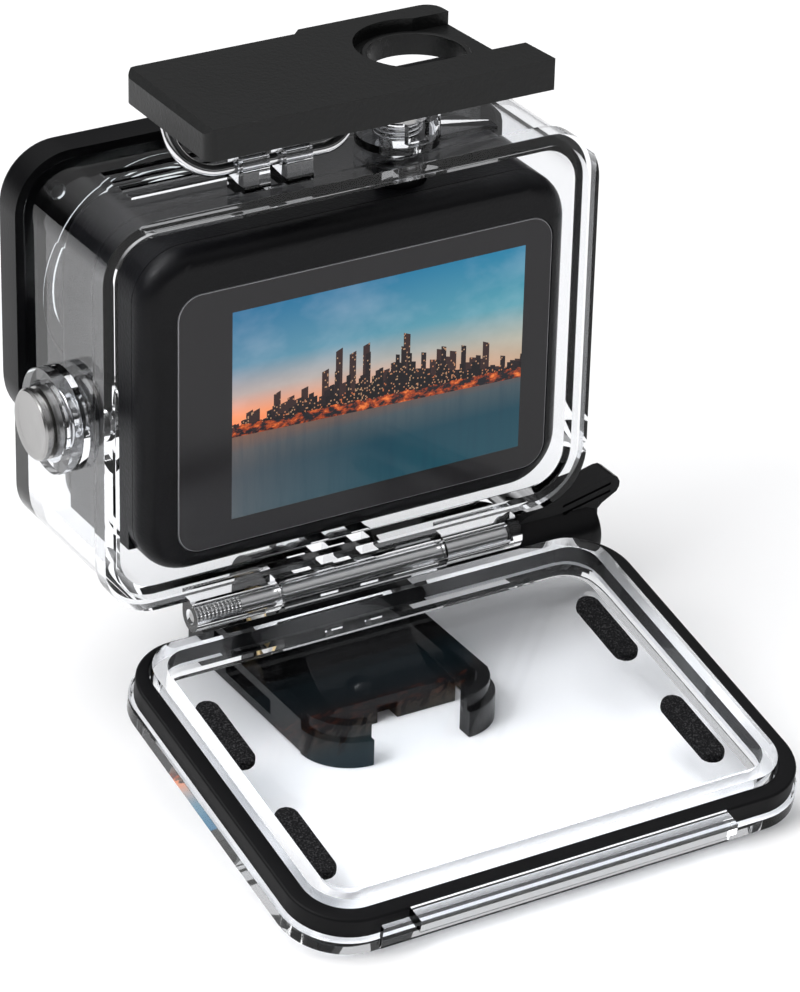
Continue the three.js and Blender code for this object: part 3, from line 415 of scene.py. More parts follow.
MAT = {
    "shell": clear_plastic("clear_shell", (0.955, 0.965, 0.98), 0.012),
    "door": clear_plastic("clear_door", (0.955, 0.965, 0.98), 0.01, 1.3),
    "lens": clear_plastic("window_glass", (0.93, 0.97, 0.97), 0.01),
    "lever": moulded("latch_black", (0.0055, 0.0058, 0.0058), 0.36, 1700, 0.00012, 0.26),
    "bezel": moulded("bezel_black", (0.0025, 0.0025, 0.003), 0.34, 2600, 0.00003, 0.1),
    "buckle": moulded("buckle_black", (0.0018, 0.0018, 0.0022), 0.18, 1500, 0.00002, 0.2),
    "knob": moulded("knob_black", (0.0025, 0.0025, 0.003), 0.26, 1500, 0.00003, 0.14),
    "camera": moulded("camera_black", (0.003, 0.003, 0.0038), 0.36, 1900, 0.0001, 0.16),
    "cover": moulded("cover_black", (0.005, 0.005, 0.006), 0.15, 800, 0.00001),
    "rubber": moulded("silicone", (0.0022, 0.0022, 0.0028), 0.5, 900, 0.00002, 0.12),
    "cell": moulded("battery_wrap", (0.05, 0.055, 0.06), 0.5, 900, 0.00003),
    "board": moulded("board_green", (0.02, 0.10, 0.05), 0.4, 500, 0.00003),
    "steel": metal("steel_turned_x", (0.38, 0.375, 0.37), 0.24, "x", (0, SD_Y, SD_Z), 2400),
    "steel_z": metal("steel_turned_z", (0.5, 0.495, 0.49), 0.26, "z", (SH_X, SH_Y, 0), 2400),
    "wire": metal("wire_bright", (0.80, 0.80, 0.81), 0.12),
    "screw": metal("screw_steel", (0.68, 0.67, 0.66), 0.25),
    "sheet": metal("sheet_aluminium", (0.78, 0.78, 0.79), 0.35),
    "brass": metal("nut_brass", (0.80, 0.60, 0.30), 0.28),
}


def foam_material():
    """Open-cell foam: pitted, with grey specks."""
    n = Nodes("foam_black")
    cells = n.new("TexVoronoi", Scale=2600.0)
    n.put(cells.inputs["Vector"], n.coord)
    speck = n.noise(3600, 2, 0.6)
    tone = n.ramp(speck, [(0.52, (0.006, 0.006, 0.007)), (0.68, (0.05, 0.05, 0.052))])
    n.set(Base_Color=tone, Roughness=0.95, Specular_IOR_Level=0.2)
    n.bump(cells.outputs["Distance"], 0.9, 0.00025)
    return n.mat


MAT["foam"] = foam_material()


KNURL_COUNT, KNURL_PITCH, KNURL_END = 9, 5200, -18


def knurl_material():
    """Diamond knurl round an X axis through the hinge, on the pin's left end."""
    n = Nodes("pin_knurled")
    n.set(Metallic=1.0, Base_Color=(0.7, 0.69, 0.68, 1), Roughness=0.3)
    x, y, z = n.split()
    turn = n.math("ARCTAN2", n.math("SUBTRACT", z, HINGE_Z * MM), y)
    round_it = n.math("MULTIPLY", turn, KNURL_COUNT)
    along_it = n.math("MULTIPLY", x, KNURL_PITCH)
    a = n.math("SINE", n.math("ADD", round_it, along_it))
    b = n.math("SINE", n.math("SUBTRACT", round_it, along_it))
    knurled = n.math("LESS_THAN", x, KNURL_END * MM)
    n.bump(n.math("MULTIPLY", n.math("MULTIPLY", a, b), knurled), 0.9, 0.00025)
    return n.mat


MAT["pin"] = knurl_material()

PIC_X, PIC_Z, PIC_W, PIC_H = 4.7, 46.8, 45.8, 31.2  # the lit picture's centre and size


def screen_material():
    """Dark glass over a lit display: a made-up waterfront at dusk."""
    n = Nodes("screen_glass")
    x, y, z = n.split()
    u = n.math("DIVIDE", n.math("SUBTRACT", x, (PIC_X - PIC_W / 2) * MM), PIC_W * MM)
    v = n.math("DIVIDE", n.math("SUBTRACT", z, (PIC_Z - PIC_H / 2) * MM), PIC_H * MM)

    def inside(value):
        return n.math("MULTIPLY", n.math("GREATER_THAN", value, 0.0), n.math("LESS_THAN", value, 1.0))

    front = n.math("LESS_THAN", y, glass_low.y * MM + 0.0001)
    lit = n.math("MULTIPLY", n.math("MULTIPLY", inside(u), inside(v)), front)
    flat = n.new("CombineXYZ")
    n.put(flat.inputs[0], u)
    n.put(flat.inputs[1], v)
    plane = flat.outputs[0]

    # a warm sky on the left turns into a cooler one on the right
    sky = n.ramp(v, [(0.40, (0.95, 0.14, 0.03)), (0.49, (0.85, 0.26, 0.10)), (0.60, (0.42, 0.34, 0.32)),
                     (0.74, (0.09, 0.22, 0.32)), (1.0, (0.015, 0.13, 0.26))])
    cool = n.ramp(v, [(0.40, (0.50, 0.30, 0.18)), (0.55, (0.36, 0.36, 0.30)), (0.72, (0.07, 0.28, 0.35)),
                      (1.0, (0.01, 0.17, 0.30))])
    color = n.mix(u, sky, cool)
    cloud = n.ramp(n.noise(3.5, 4, 0.55, plane), [(0.45, (0, 0, 0)), (0.75, (0.20, 0.16, 0.16))])
    add = n.tree.nodes.new("ShaderNodeMix")
    add.data_type = "RGBA"
    add.blend_type = "ADD"
    add.inputs[0].default_value = 0.5
    n.put(add.inputs[6], color)
    n.put(add.inputs[7], cloud)
    color = add.outputs[2]

    # four rows of blocks, each column's height from its own number
    shore = n.math("SUBTRACT", 0.40, n.math("MULTIPLY", u, 0.05))
    off_centre = n.math("ABSOLUTE", n.math("SUBTRACT", u, 0.55))
    heap = n.math("SUBTRACT", 1.0, n.math("MULTIPLY", off_centre, 1.55))
    lights_grid = n.new("CombineXYZ")
    n.put(lights_grid.inputs[0], n.math("FLOOR", n.math("MULTIPLY", u, 250)))
    n.put(lights_grid.inputs[1], n.math("FLOOR", n.math("MULTIPLY", v, 150)))
    spark = n.new("TexWhiteNoise")
    spark.noise_dimensions = "2D"
    n.put(spark.inputs["Vector"], lights_grid.outputs[0])
    rows = [(43, 0.11, 0.34, (0.030, 0.014, 0.014), 0.95),
            (57, 0.10, 0.24, (0.012, 0.007, 0.009), 0.93),
            (71, 0.07, 0.17, (0.006, 0.004, 0.006), 0.91),
            (53, 0.04, 0.12, (0.004, 0.003, 0.005), 0.88)]
    for i, (count, low, high, tone, cut) in enumerate(rows):
        column = n.math("FLOOR", n.math("ADD", n.math("MULTIPLY", u, count), i * 17.3))
        pick = n.new("TexWhiteNoise")
        pick.noise_dimensions = "1D"
        n.put(pick.inputs["W"], column)
        tall = n.math("POWER", pick.outputs["Value"], 1.8)
        height = n.math("MULTIPLY", n.math("ADD", n.math("MULTIPLY", tall, high), low), heap)
        mask = n.math("LESS_THAN", v, n.math("ADD", shore, n.math("ADD", height, 0.02)))
        glow = n.math("GREATER_THAN", spark.outputs["Value"], cut)
        warm = n.mix(pick.outputs["Value"], (0.90, 0.20, 0.04), (0.75, 0.48, 0.28))
        block = n.mix(n.math("MULTIPLY", glow, 0.5), tone, warm)
        color = n.mix(mask, color, block)
    # low banks with street light
    bank = n.noise(26, 5, 0.65, plane)
    street = n.ramp(bank, [(0.46, (0.008, 0.008, 0.012)), (0.56, (0.35, 0.05, 0.01)),
                           (0.66, (0.75, 0.18, 0.04))])
    bank_height = n.math("ADD", 0.02, n.math("MULTIPLY", bank, 0.06))
    color = n.mix(n.math("LESS_THAN", v, n.math("ADD", shore, bank_height)), color, street)
    # water with stretched reflections
    stretch = n.new("Mapping")
    n.put(stretch.inputs["Vector"], plane)
    stretch.inputs["Scale"].default_value = (34, 2.2, 1)
    streaks = n.noise(1.0, 4, 0.6, stretch.outputs[0])
    water = n.ramp(v, [(0.0, (0.012, 0.060, 0.085)), (0.2, (0.008, 0.050, 0.075)),
                       (0.32, (0.05, 0.075, 0.09)), (0.42, (0.16, 0.07, 0.04))])
    warm_edge = n.math("MULTIPLY", n.math("POWER", n.math("SUBTRACT", 1.0, u), 3), 0.14)
    water = n.mix(warm_edge, water, (0.42, 0.24, 0.17))
    water = n.mix(n.span(streaks, -0.5, 0.62), water, (0.008, 0.035, 0.06))
    color = n.mix(n.math("LESS_THAN", v, shore), color, water)

    n.set(Roughness=0.12, Coat_Weight=0.08, Coat_Roughness=0.03, Specular_IOR_Level=0.18)
    n.set(Emission_Color=color, Emission_Strength=n.math("MULTIPLY", lit, 1.2))
    # grey glass, black where the picture is lit, and a painted highlight: a pale band on the glass's
    # bevelled edge
    face = n.mix(lit, (0.033, 0.032, 0.034), (0.002, 0.002, 0.002))
    painted_highlight_edge = n.math("GREATER_THAN", y, glass_low.y * MM + 0.00004)
    n.set(Base_Color=n.mix(painted_highlight_edge, face, (0.42, 0.42, 0.44)))
    return n.mat


MAT["screen"] = screen_material()


# ------------------------------------------------------------------ buckle and thumb screw

F_IN, F_T = 1.8, 2.8  # housing fingers
P_IN = F_IN + F_T + 0.3  # outer prongs of the buckle
P_T = 3.0
P_OUT = P_IN + P_T
NUT_ROOM = 3.2
TONGUE_R = 7.3
SCREW_R = 2.45
BASE_FRONT, BASE_BACK = -10.5, 20
ARM_FRONT = -12.5
ARM_IN, ARM_OUT = 12.9, 15.0
PAD_X = 7.6  # centre of a pad's quarter ring


def tongue(reach, n=28):
    """Outline of a prong or finger: round at the pivot, straight to its reach."""
    half_turn = -math.pi if reach > PIVOT_Z else math.pi
    return ([(PIVOT_Y + TONGUE_R, reach)] + arc(PIVOT_Y, PIVOT_Z, TONGUE_R, 0, half_turn, n)
            + [(PIVOT_Y - TONGUE_R, reach)])


def pad_end(s, r, z0, z1):
    """One step of the quarter ring at the front of a side arm."""
    a0, a1 = (math.pi, math.pi * 1.5) if s < 0 else (-math.pi / 2, 0)
    pts = arc(s * PAD_X, ARM_FRONT, r, a0, a1, 20) + arc(s * PAD_X, ARM_FRONT, 4.8, a1, a0, 20)
    return prism(pts, "z", z0, z1)


def buckle():
    plate = box(-11, BASE_FRONT, 0, 11, BASE_BACK, 3.4)
    # top of the centre block sweeps down to the front
    curve = []
    for i in range(15):
        t = i / 14
        curve.append((-1.4 - 4 * t * (1 - t) - 9.1 * t * t, 9.6 - 10.4 * t * (1 - t) - 5.6 * t * t))
    side = [(0.2, 1.7), (0.2, 9.6)] + curve + [(BASE_FRONT, 1.7)]
    adds = [prism(side, "x", -8.5, 8.5)]
    for x0, x1 in ((-1.5, 1.5), (P_IN, P_OUT), (-P_OUT - NUT_ROOM, -P_IN)):
        adds.append(prism(tongue(1.7), "x", x0, x1))
    cuts = [box(-1.6, -11.5, -1, 1.6, -8.1, 2.6),
            bar("x", SCREW_R + 0.2, -P_OUT - NUT_ROOM - 1, P_OUT + 1, PIVOT_Y, PIVOT_Z),
            bar("x", 4.45, -P_OUT - NUT_ROOM - 1, -P_OUT - 0.5, PIVOT_Y, PIVOT_Z, 6)]
    for s in (-1, 1):
        inner, outer = s * ARM_IN, s * ARM_OUT
        adds.append(box(min(inner, outer), ARM_FRONT, 0.3, max(inner, outer), BASE_BACK, 5.4))
        adds.append(box(min(s * 10, outer), 15.5, 0, max(s * 10, outer), BASE_BACK, 5.4))
        adds.append(pad_end(s, 7.4, 0, 4.0))
        adds.append(pad_end(s, 6.6, 3.5, 6.3))
        x = (inner + outer) / 2
        cuts.append(box(x - 2.1, -4, 1.7, x + 2.1, 9, 4))
    stud = [(0, 3), (2, 3), (2, 4.6), (1.7, 5.2), (1.1, 5.7), (0, 5.9)]
    adds.append(lathe(stud, "z", -2.6, -7.4, 32))
    return soften(carve(plate, adds, cuts), 0.32, 3)


keep(buckle(), "buckle_body", "base", ["buckle_base"], MAT["buckle"])

nut_low, nut_high = span("buckle_nut")
nut = carve(bar("x", 4.2, nut_low.x, nut_high.x, PIVOT_Y, PIVOT_Z, 6), [],
            [bar("x", SCREW_R + 0.1, nut_low.x - 1, nut_high.x + 1, PIVOT_Y, PIVOT_Z)])
keep(soften(nut, 0.2), "hex_nut", "base", ["buckle_nut"], MAT["brass"])

shank_low, shank_high = span("thumb_screw_shank")


def threaded_shank():
    """Shank with rolled thread rings near the nut and a plain run to the knob."""
    profile = [(0, shank_low.x), (SCREW_R - 0.5, shank_low.x)]
    x = shank_low.x + 0.3
    while x < 2:
        profile += [(SCREW_R, x), (SCREW_R, x + 0.15), (SCREW_R - 0.35, x + 0.4)]
        x += 0.8
    profile += [(SCREW_R, x), (SCREW_R, shank_high.x - 0.3), (SCREW_R - 0.3, shank_high.x),
                (0, shank_high.x)]
    return smooth(lathe(profile, "x", PIVOT_Y, PIVOT_Z, 40), 30)


keep(threaded_shank(), "screw_shank", "thumb_screw", ["thumb_screw_shank"], MAT["screw"])


HUB_L, HUB_R = 29.5, 44.5


def knob():
    """Neck, round hub and two flaring wings with a pair of grooves on each side."""
    neck = bar("x", 3.4, P_OUT + 0.3, HUB_L + 1, PIVOT_Y, PIVOT_Z)
    hub = lathe([(0, HUB_L), (4.2, HUB_L), (4.8, 30.3), (4.8, 42.6), (4.3, 44.0), (3.2, HUB_R), (0, HUB_R)],
                "x", PIVOT_Y, PIVOT_Z)
    adds = [hub]
    wing = [(HUB_L, 0), (HUB_R, 0), (HUB_R, 3.6), (45.2, 4.3), (47.7, 5.7), (48.1, 6.4), (48.15, 7.2),
            (47.7, 8.0), (47.0, 8.4), (46.1, 8.4), (HUB_R, 8.0), (40, 7.1), (32.5, 5.2), (HUB_L, 3.8)]
    for s in (1, -1):
        pts = [(a, PIVOT_Z + s * b) for a, b in wing]
        adds.append(prism(pts, "y", PIVOT_Y - 2.2, PIVOT_Y + 2.2))
    cuts = [bar("x", SCREW_R + 0.05, 0, 24.8, PIVOT_Y, PIVOT_Z)]
    for s in (1, -1):
        for y in (-2.5, 1.95):
            for u in (4.9, 6.1):
                groove = [(38.5, u - 0.9), (46.6, u + 0.9), (46.6, u + 1.3), (38.5, u - 0.5)]
                pts = [(a, PIVOT_Z + s * b) for a, b in groove]
                cuts.append(prism(pts, "y", PIVOT_Y + y, PIVOT_Y + y + 0.55))
    return soften(carve(neck, adds, cuts), 0.3, 3)


keep(knob(), "knob", "thumb_screw", ["thumb_knob"], MAT["knob"])


# ------------------------------------------------------------------ housing

BOSS_R, BOSS_H = 5.9, 4.2  # top plunger's boss
SBOSS_R, SBOSS_H = 7.4, 2.9  # side plunger's boss
STEM_HOLE = 2.5
PORT_R, PORT_BORE = 16.6, 14.4
SCREW_OUT = 15.2  # port screws from the lens axis
SCREW_HOLE = 1.05
BARREL_R = 2.2
GAP_L, GAP_R = -12.2, 14.4  # between the housing's two hinge barrels
BAIL_L, BAIL_R = -24.4, 2.7


def screw_spots():
    return [(LENS_X + i * SCREW_OUT, LENS_Z + k * SCREW_OUT) for i in (-1, 1) for k in (-1, 1)]


def housing():
    flange = prism(rounded(FR_L, FR_B, FR_R, FR_T, FRAME_R, 14), "y", 0, FLANGE_D)
    adds = [prism(rounded(BOX_L, BOX_B, BOX_R, BOX_T, FRAME_R - 1, 14), "y", FLANGE_D / 2, FRONT)]
    adds.append(bar("y", PORT_R, FRONT - 1, FRONT + 1.9, LENS_X, LENS_Z, 72))
    for x0, x1 in ((F_IN, F_IN + F_T), (-F_IN - F_T, -F_IN)):
        adds.append(prism(tongue(BOX_B + 1), "x", x0, x1))
    adds.append(bar("z", BOSS_R, BOX_T - 1, BOX_T + BOSS_H, SH_X, SH_Y, 56))
    adds.append(bar("x", SBOSS_R, BOX_L - SBOSS_H, BOX_L + 1, SD_Y, SD_Z, 56))
    for x0, x1 in ((-25.4, GAP_L), (GAP_R, 26.6)):
        adds.append(bar("x", BARREL_R, x0, x1, 0, HINGE_Z, 40))
        adds.append(box(x0, 0, HINGE_Z, x1, BARREL_R, FR_B + 1))
    for x0 in (BAIL_L + 8.2, BAIL_R - 12.4):
        side = [(BAIL_Y - 2.5, FR_T - 1.5), (BAIL_Y + 2.5, FR_T - 1.5),
                (BAIL_Y + 2.1, BAIL_Z + 1.6), (BAIL_Y - 1.9, BAIL_Z + 1.6)]
        adds.append(prism(side, "x", x0, x0 + 4))
    run = SH_X + BOSS_R
    rib = [(run - 2, BOX_T - 0.5), (run + 8, BOX_T - 0.5), (run + 8, BOX_T + 0.4), (run - 2, BOX_T + 2.3)]
    adds.append(prism(rib, "y", SH_Y - 3.4, SH_Y - 1))
    mouth = rounded(FR_L + FLANGE_LIP, FR_B + FLANGE_LIP, FR_R - FLANGE_LIP, FR_T - FLANGE_LIP,
                    FRAME_R - 1.6, 14)
    cuts = [prism(rounded(IN_L, IN_B, IN_R, IN_T, FRAME_R - 2.6, 14), "y", -1, FRONT - WALL),
            prism(mouth, "y", -1, MOUTH),
            bar("y", PORT_BORE, FRONT - WALL - 1, FRONT + 3, LENS_X, LENS_Z, 72),
            bar("z", BOSS_R - 1.1, BOX_T + 0.8, BOX_T + BOSS_H + 1, SH_X, SH_Y, 56),
            bar("x", SBOSS_R - 1.7, BOX_L - SBOSS_H - 1, BOX_L - 0.4, SD_Y, SD_Z, 56),
            bar("z", STEM_HOLE, IN_T - 1, BOX_T + BOSS_H + 1, SH_X, SH_Y, 40),
            bar("x", STEM_HOLE, BOX_L - SBOSS_H - 1, IN_L + 1, SD_Y, SD_Z, 40),
            bar("x", 1.05, BAIL_L, BAIL_R, BAIL_Y, BAIL_Z, 24),
            bar("x", 1.1, -26.4, 25.1, 0, HINGE_Z, 24),
            bar("x", SCREW_R + 0.2, -P_IN, P_IN, PIVOT_Y, PIVOT_Z, 40),
            bar("x", BARREL_R + 0.28, GAP_L, GAP_R, 0, HINGE_Z, 40)]
    for i in range(4):
        cuts.append(box(-29, 9.6 + i * 2.6, BOX_T - 0.8, -13.4, 11 + i * 2.6, BOX_T + 1))
    cuts.append(box(SH_X - 1.6, SH_Y - BOSS_R - 1, BOX_T + 1.4, SH_X + 1.6, SH_Y, BOX_T + 6))
    for x, z in screw_spots():
        cuts.append(bar("y", SCREW_HOLE, FRONT - 1.6, FRONT + 1, x, z, 20))
    return soften(carve(flange, adds, cuts), 0.28, 3)


keep(housing(), "housing_clear", "housing", ["housing_shell"], MAT["shell"])


def bezel():
    """Black cap over the upper part of the housing's front."""
    out = 1.4
    face = FRONT + 1.6
    steps = [(0, FRONT - 4.2), (0, face - 1.2), (0.25, face - 0.55), (0.7, face - 0.15), (1.3, face)]
    cap = frame_loft(BOX_L - out, 37.6, BOX_R + out, BOX_T + out, FRAME_R + 0.4, steps, n=14)
    fit = rounded(BOX_L - 0.1, BOX_B - 10, BOX_R + 0.1, BOX_T + 0.1, FRAME_R - 0.9, 14)
    cuts = [prism(fit, "y", FRONT - 5.2, FRONT + 0.1),
            bar("y", PORT_R + 0.1, FRONT - 1, face + 1, LENS_X, LENS_Z, 72)]
    for x, z in screw_spots():
        cuts.append(bar("y", SCREW_HOLE, FRONT, face + 1, x, z, 20))
    return soften(carve(cap, [], cuts), 0.15, 2, 40)


keep(bezel(), "bezel_trim", "housing", ["front_bezel"], MAT["bezel"])

seal_low, seal_high = span("port_seal")
seal = lathe([(14.6, seal_low.y), (16.0, seal_low.y), (16.2, seal_low.y + 0.2), (16.2, seal_high.y - 0.2),
              (16.0, seal_high.y), (14.8, seal_high.y), (14.6, seal_high.y - 0.2)], "y", LENS_X, LENS_Z, 72)
keep(smooth(seal), "seal_ring", "housing", ["port_seal"], MAT["rubber"])
win_low, win_high = span("port_window")
window = lathe([(0, win_low.y), (16.0, win_low.y), (16.3, win_low.y + 0.3), (16.3, win_high.y - 0.3),
                (16.0, win_high.y), (0, win_high.y)], "y", LENS_X, LENS_Z, 72)
keep(smooth(window), "window_disc", "housing", ["port_window"], MAT["lens"])


def retainer():
    low, high = span("port_retainer")
    steps = [(0, low.y), (0, high.y - 1.1), (0.4, high.y - 0.4), (1.1, high.y)]
    cap = frame_loft(low.x, low.z, high.x, high.z, 5, steps, n=12)
    eye = lathe([(0, low.y - 1), (13.8, low.y - 1), (13.8, high.y - 0.9), (14.9, high.y + 0.3),
                 (0, high.y + 0.3)], "y", LENS_X, LENS_Z, 72)
    cuts = [eye, bar("y", PORT_R + 0.2, low.y - 1, win_high.y + 0.1, LENS_X, LENS_Z, 72)]
    for x, z in screw_spots():
        cuts.append(bar("y", SCREW_HOLE, low.y - 1, high.y + 1, x, z, 20))
    return soften(carve(cap, [], cuts), 0.12, 2, 42)


keep(retainer(), "window_frame", "housing", ["port_retainer"], MAT["cover"])

for i, (x, z) in enumerate(screw_spots()):
    low, high = span(f"port_screw_{i + 1}")
    r = (high.x - low.x) / 2
    head = lathe([(0, low.y), (0.9, low.y), (0.9, high.y - 1.2), (r, high.y - 1.2), (r, high.y - 0.35),
                  (r * 0.7, high.y), (0, high.y)], "y", x, z, 32)
    head = carve(head, [], [box(x - 2, high.y - 0.45, z - 0.22, x + 2, high.y + 1, z + 0.22)])
    keep(soften(head, 0.05), f"port_fastener_{i + 1}", "housing", [f"port_screw_{i + 1}"],
         MAT["screw"])

pin_low, pin_high = span("hinge_pin")
pin = lathe([(0, pin_low.x), (0.8, pin_low.x), (0.98, pin_low.x + 0.2), (0.98, pin_high.x - 0.2),
             (0.8, pin_high.x), (0, pin_high.x)], "x", 0, HINGE_Z, 32)
keep(smooth(pin), "pin_knurled", "housing", ["hinge_pin"], MAT["pin"])


# ------------------------------------------------------------------ plungers and springs

SPRING_WIRE = 0.24  # radius


def coil(radius, wire, start, length, turns, axis, u, v):
    """Round wire wound about an axis, its ends inside start and start + length."""
    points = []
    per_turn = 28
    steps = int(turns * per_turn)
    for i in range(steps + 1):
        a = TAU * i / per_turn
        d = start + wire + (length - 2 * wire) * i / steps
        points.append(place(axis, u + radius * math.cos(a), v + radius * math.sin(a), d))
    return tube(points, wire, 10)


sp_low, sp_high = span("shutter_plunger")
top = sp_high.z
cap = lathe([(0, sp_low.z), (1.4, sp_low.z), (1.6, sp_low.z + 0.2), (1.6, top - 2.2), (4.1, top - 2.2),
             (4.28, top - 2.0), (4.28, top - 0.6), (3.9, top - 0.12), (3.2, top), (2.6, top - 0.12),
             (0, top - 0.2)], "z", SH_X, SH_Y, 64)
keep(smooth(cap, 30), "shutter_cap", "shutter_plunger_body", ["shutter_plunger"], MAT["steel_z"])
ss_low, ss_high = span("shutter_spring")
spring = coil(3.2, SPRING_WIRE, ss_low.z, ss_high.z - ss_low.z, 3, "z", SH_X, SH_Y)
keep(spring, "shutter_coil", "housing", ["shutter_spring"], MAT["wire"])

sd_low, sd_high = span("side_plunger")
x0 = sd_low.x
side_profile = [(0, x0 + 0.12), (3.6, x0 + 0.12), (3.9, x0), (4.7, x0), (5.0, x0 + 0.3), (5.0, x0 + 0.95),
                (4.3, x0 + 1.1), (4.3, x0 + 1.5), (5.0, x0 + 1.65), (5.0, x0 + 2.75), (4.8, x0 + 3.0),
                (1.6, x0 + 3.0), (1.6, sd_high.x - 0.2), (1.4, sd_high.x), (0, sd_high.x)]
cap = lathe(side_profile, "x", SD_Y, SD_Z, 72)
keep(smooth(cap, 28), "side_cap", "side_plunger_body", ["side_plunger"], MAT["steel"])
ds_low, ds_high = span("side_spring")
spring = coil(4.1, SPRING_WIRE, ds_low.x, ds_high.x - ds_low.x, 2, "x", SD_Y, SD_Z)
keep(spring, "side_coil", "housing", ["side_spring"], MAT["wire"])

PLUNGERS = (("shutter", "z", SH_X, SH_Y), ("side", "x", SD_Y, SD_Z))


def along(node, axis):
    """Where a node starts and ends along an axis."""
    low, high = span(node)
    return low["xyz".index(axis)], high["xyz".index(axis)]


for which, axis, u, v in PLUNGERS:
    node = which + "_o_ring"
    d0, d1 = along(node, axis)
    mid, half = (d0 + d1) / 2, (d1 - d0) / 2
    turns = [a * TAU / 12 for a in range(12)]
    profile = [(2.05 + 0.35 * math.cos(a), mid + half * 0.98 * math.sin(a)) for a in turns]
    ring = smooth(lathe(profile, axis, u, v, 40))
    keep(ring, node + "_torus", which + "_plunger_body", [node], MAT["rubber"])
for which, axis, u, v in PLUNGERS:
    node = which + "_clip"
    d0, d1 = along(node, axis)
    profile = [(1.7, d0), (3.0, d0), (3.1, d0 + 0.1), (3.1, d1 - 0.1), (3.0, d1), (1.7, d1)]
    ring = smooth(lathe(profile, axis, u, v, 40))
    keep(ring, node + "_ring", which + "_plunger_body", [node], MAT["wire"])


# ------------------------------------------------------------------ door

DOOR_SPACE = Matrix.Translation((0, 0, HINGE_Z * MM)) @ Matrix.Rotation(DOOR_OPEN, 4, "X")


def open_door(obj):
    obj.data.transform(DOOR_SPACE)
    return obj


D_L, D_R = FR_L - 1.2, FR_R + 1.2
RIM_L, RIM_R = FR_L + FLANGE_LIP + 0.5, FR_R - FLANGE_LIP - 0.5
RIM_B, RIM_T = 2.5 + FLANGE_LIP + 0.5, FR_T - HINGE_Z - FLANGE_LIP - 0.5


LIP_X, LIP_HALF = -1.2, 24.3  # the latch ridge on the door's far edge
KNUCKLE_L, KNUCKLE_R = GAP_L + 0.35, GAP_R - 0.35
TRAY_T = 1.6  # clear floor of the door


def door():
    """Drawn shut, as seen from behind, with its hinge at the origin; open_door lays it down."""
    steps = [(0.5, -DOOR_T), (0, -DOOR_T + 0.5), (0, -SEAT - 0.25), (0.25, -SEAT)]
    slab = frame_loft(D_L, 2.7, D_R, DOOR_TOP, FRAME_R + 1, steps, n=14)
    rim = prism(rounded(RIM_L, RIM_B, RIM_R, RIM_T, FRAME_R - 2.2, 14), "y", -DOOR_T + 1, 1.0)
    lip0, lip1 = LIP_X - LIP_HALF, LIP_X + LIP_HALF
    ridge = box(lip0, -1.5, DOOR_TOP - 0.2, lip1, 0.4, DOOR_TOP + 2.8)
    root = box(lip0 - 4, -SEAT - 0.5, DOOR_TOP - 0.2, lip1 + 1, -1.4, DOOR_TOP + 0.5)
    base = box(lip0 - 4, -DOOR_T + 1, DOOR_TOP - 1.5, lip1 + 1, -SEAT - 0.1, DOOR_TOP + 0.5)
    knuckle = bar("x", BARREL_R, KNUCKLE_L, KNUCKLE_R, 0, 0, 40)
    web = box(KNUCKLE_L, -BARREL_R, 0, KNUCKLE_R, -0.6, 3.0)
    foot = box(KNUCKLE_L, -SEAT - 1.2, 1, KNUCKLE_R, -BARREL_R + 0.4, 3.0)
    tray = rounded(RIM_L + 2, RIM_B + 2, RIM_R - 2, RIM_T - 2, FRAME_R - 4, 14)
    cuts = [prism(tray, "y", -DOOR_T + TRAY_T, 2), bar("x", 1.2, GAP_L, GAP_R, 0, 0, 32)]
    obj = soften(carve(slab, [rim, ridge, root, base, knuckle, web, foot], cuts), 0.28, 3)
    return open_door(obj)


keep(door(), "door_clear", "door", ["door_panel"], MAT["door"])


def gasket():
    """Silicone band round the rim: rounded top edges, flat foot on the door's seat."""
    e, y0, y1 = -0.6, -SEAT + 0.3, -SEAT + 3.2
    outer = [FR_L + e, 3.3, FR_R - e, FR_T - HINGE_Z - e]
    inner = [RIM_L - 0.3, RIM_B - 0.3, RIM_R + 0.3, RIM_T + 0.3]
    ro, ri = FRAME_R - e, FRAME_R - 1.9

    def ring(r, grow, box_, y):
        pts = rounded(box_[0] - grow, box_[1] - grow, box_[2] + grow, box_[3] + grow, r + grow, 14)
        return [(a, y, b) for a, b in pts]

    rings = [ring(ro, 0, outer, y0), ring(ro, 0, outer, y1 - 0.35), ring(ro, -0.12, outer, y1 - 0.12),
             ring(ro, -0.38, outer, y1), ring(ri, 0.3, inner, y1), ring(ri, 0.08, inner, y1 - 0.12),
             ring(ri, 0, inner, y1 - 0.3), ring(ri, 0, inner, y0)]
    return open_door(smooth(loft(rings, True)))


keep(gasket(), "gasket_band", "door", ["door_gasket"], MAT["rubber"])


PAD_W, PAD_L, PAD_T = 3.5, 13.4, 1.8


def foam_pad(x, u, seed):
    """Die-cut foam strip: soft domed edge, torn-cell surface."""
    floor = -DOOR_T + TRAY_T + 0.3
    t = PAD_T
    rings = []
    for inset, h in ((0.0, 0.0), (0.0, t * 0.35), (0.0, t * 0.7), (0.06, t * 0.88), (0.25, t * 0.97),
                     (0.6, t), (1.0, t), (1.4, t)):
        half_w, half_l = PAD_W / 2 - inset, PAD_L / 2 - inset
        ring = rounded(x - half_w, u - half_l, x + half_w, u + half_l, half_w - 0.01, 12)
        rings.append([(a, floor + h, b) for a, b in ring])
    obj = loft(rings)
    obj.modifiers.new("cells", "SUBSURF").levels = 1
    bake(obj)
    for vert in obj.data.vertices:
        co = vert.co / MM
        if co.y > floor + 0.2:
            d = noise.noise(co * 3.1 + Vector((seed * 7.7, 0, 0))) * 0.05 + noise.noise(co * 7.3) * 0.03
            vert.co.y = min(vert.co.y + (d - 0.04) * MM, (floor + t) * MM)
    return open_door(smooth(obj, 60))


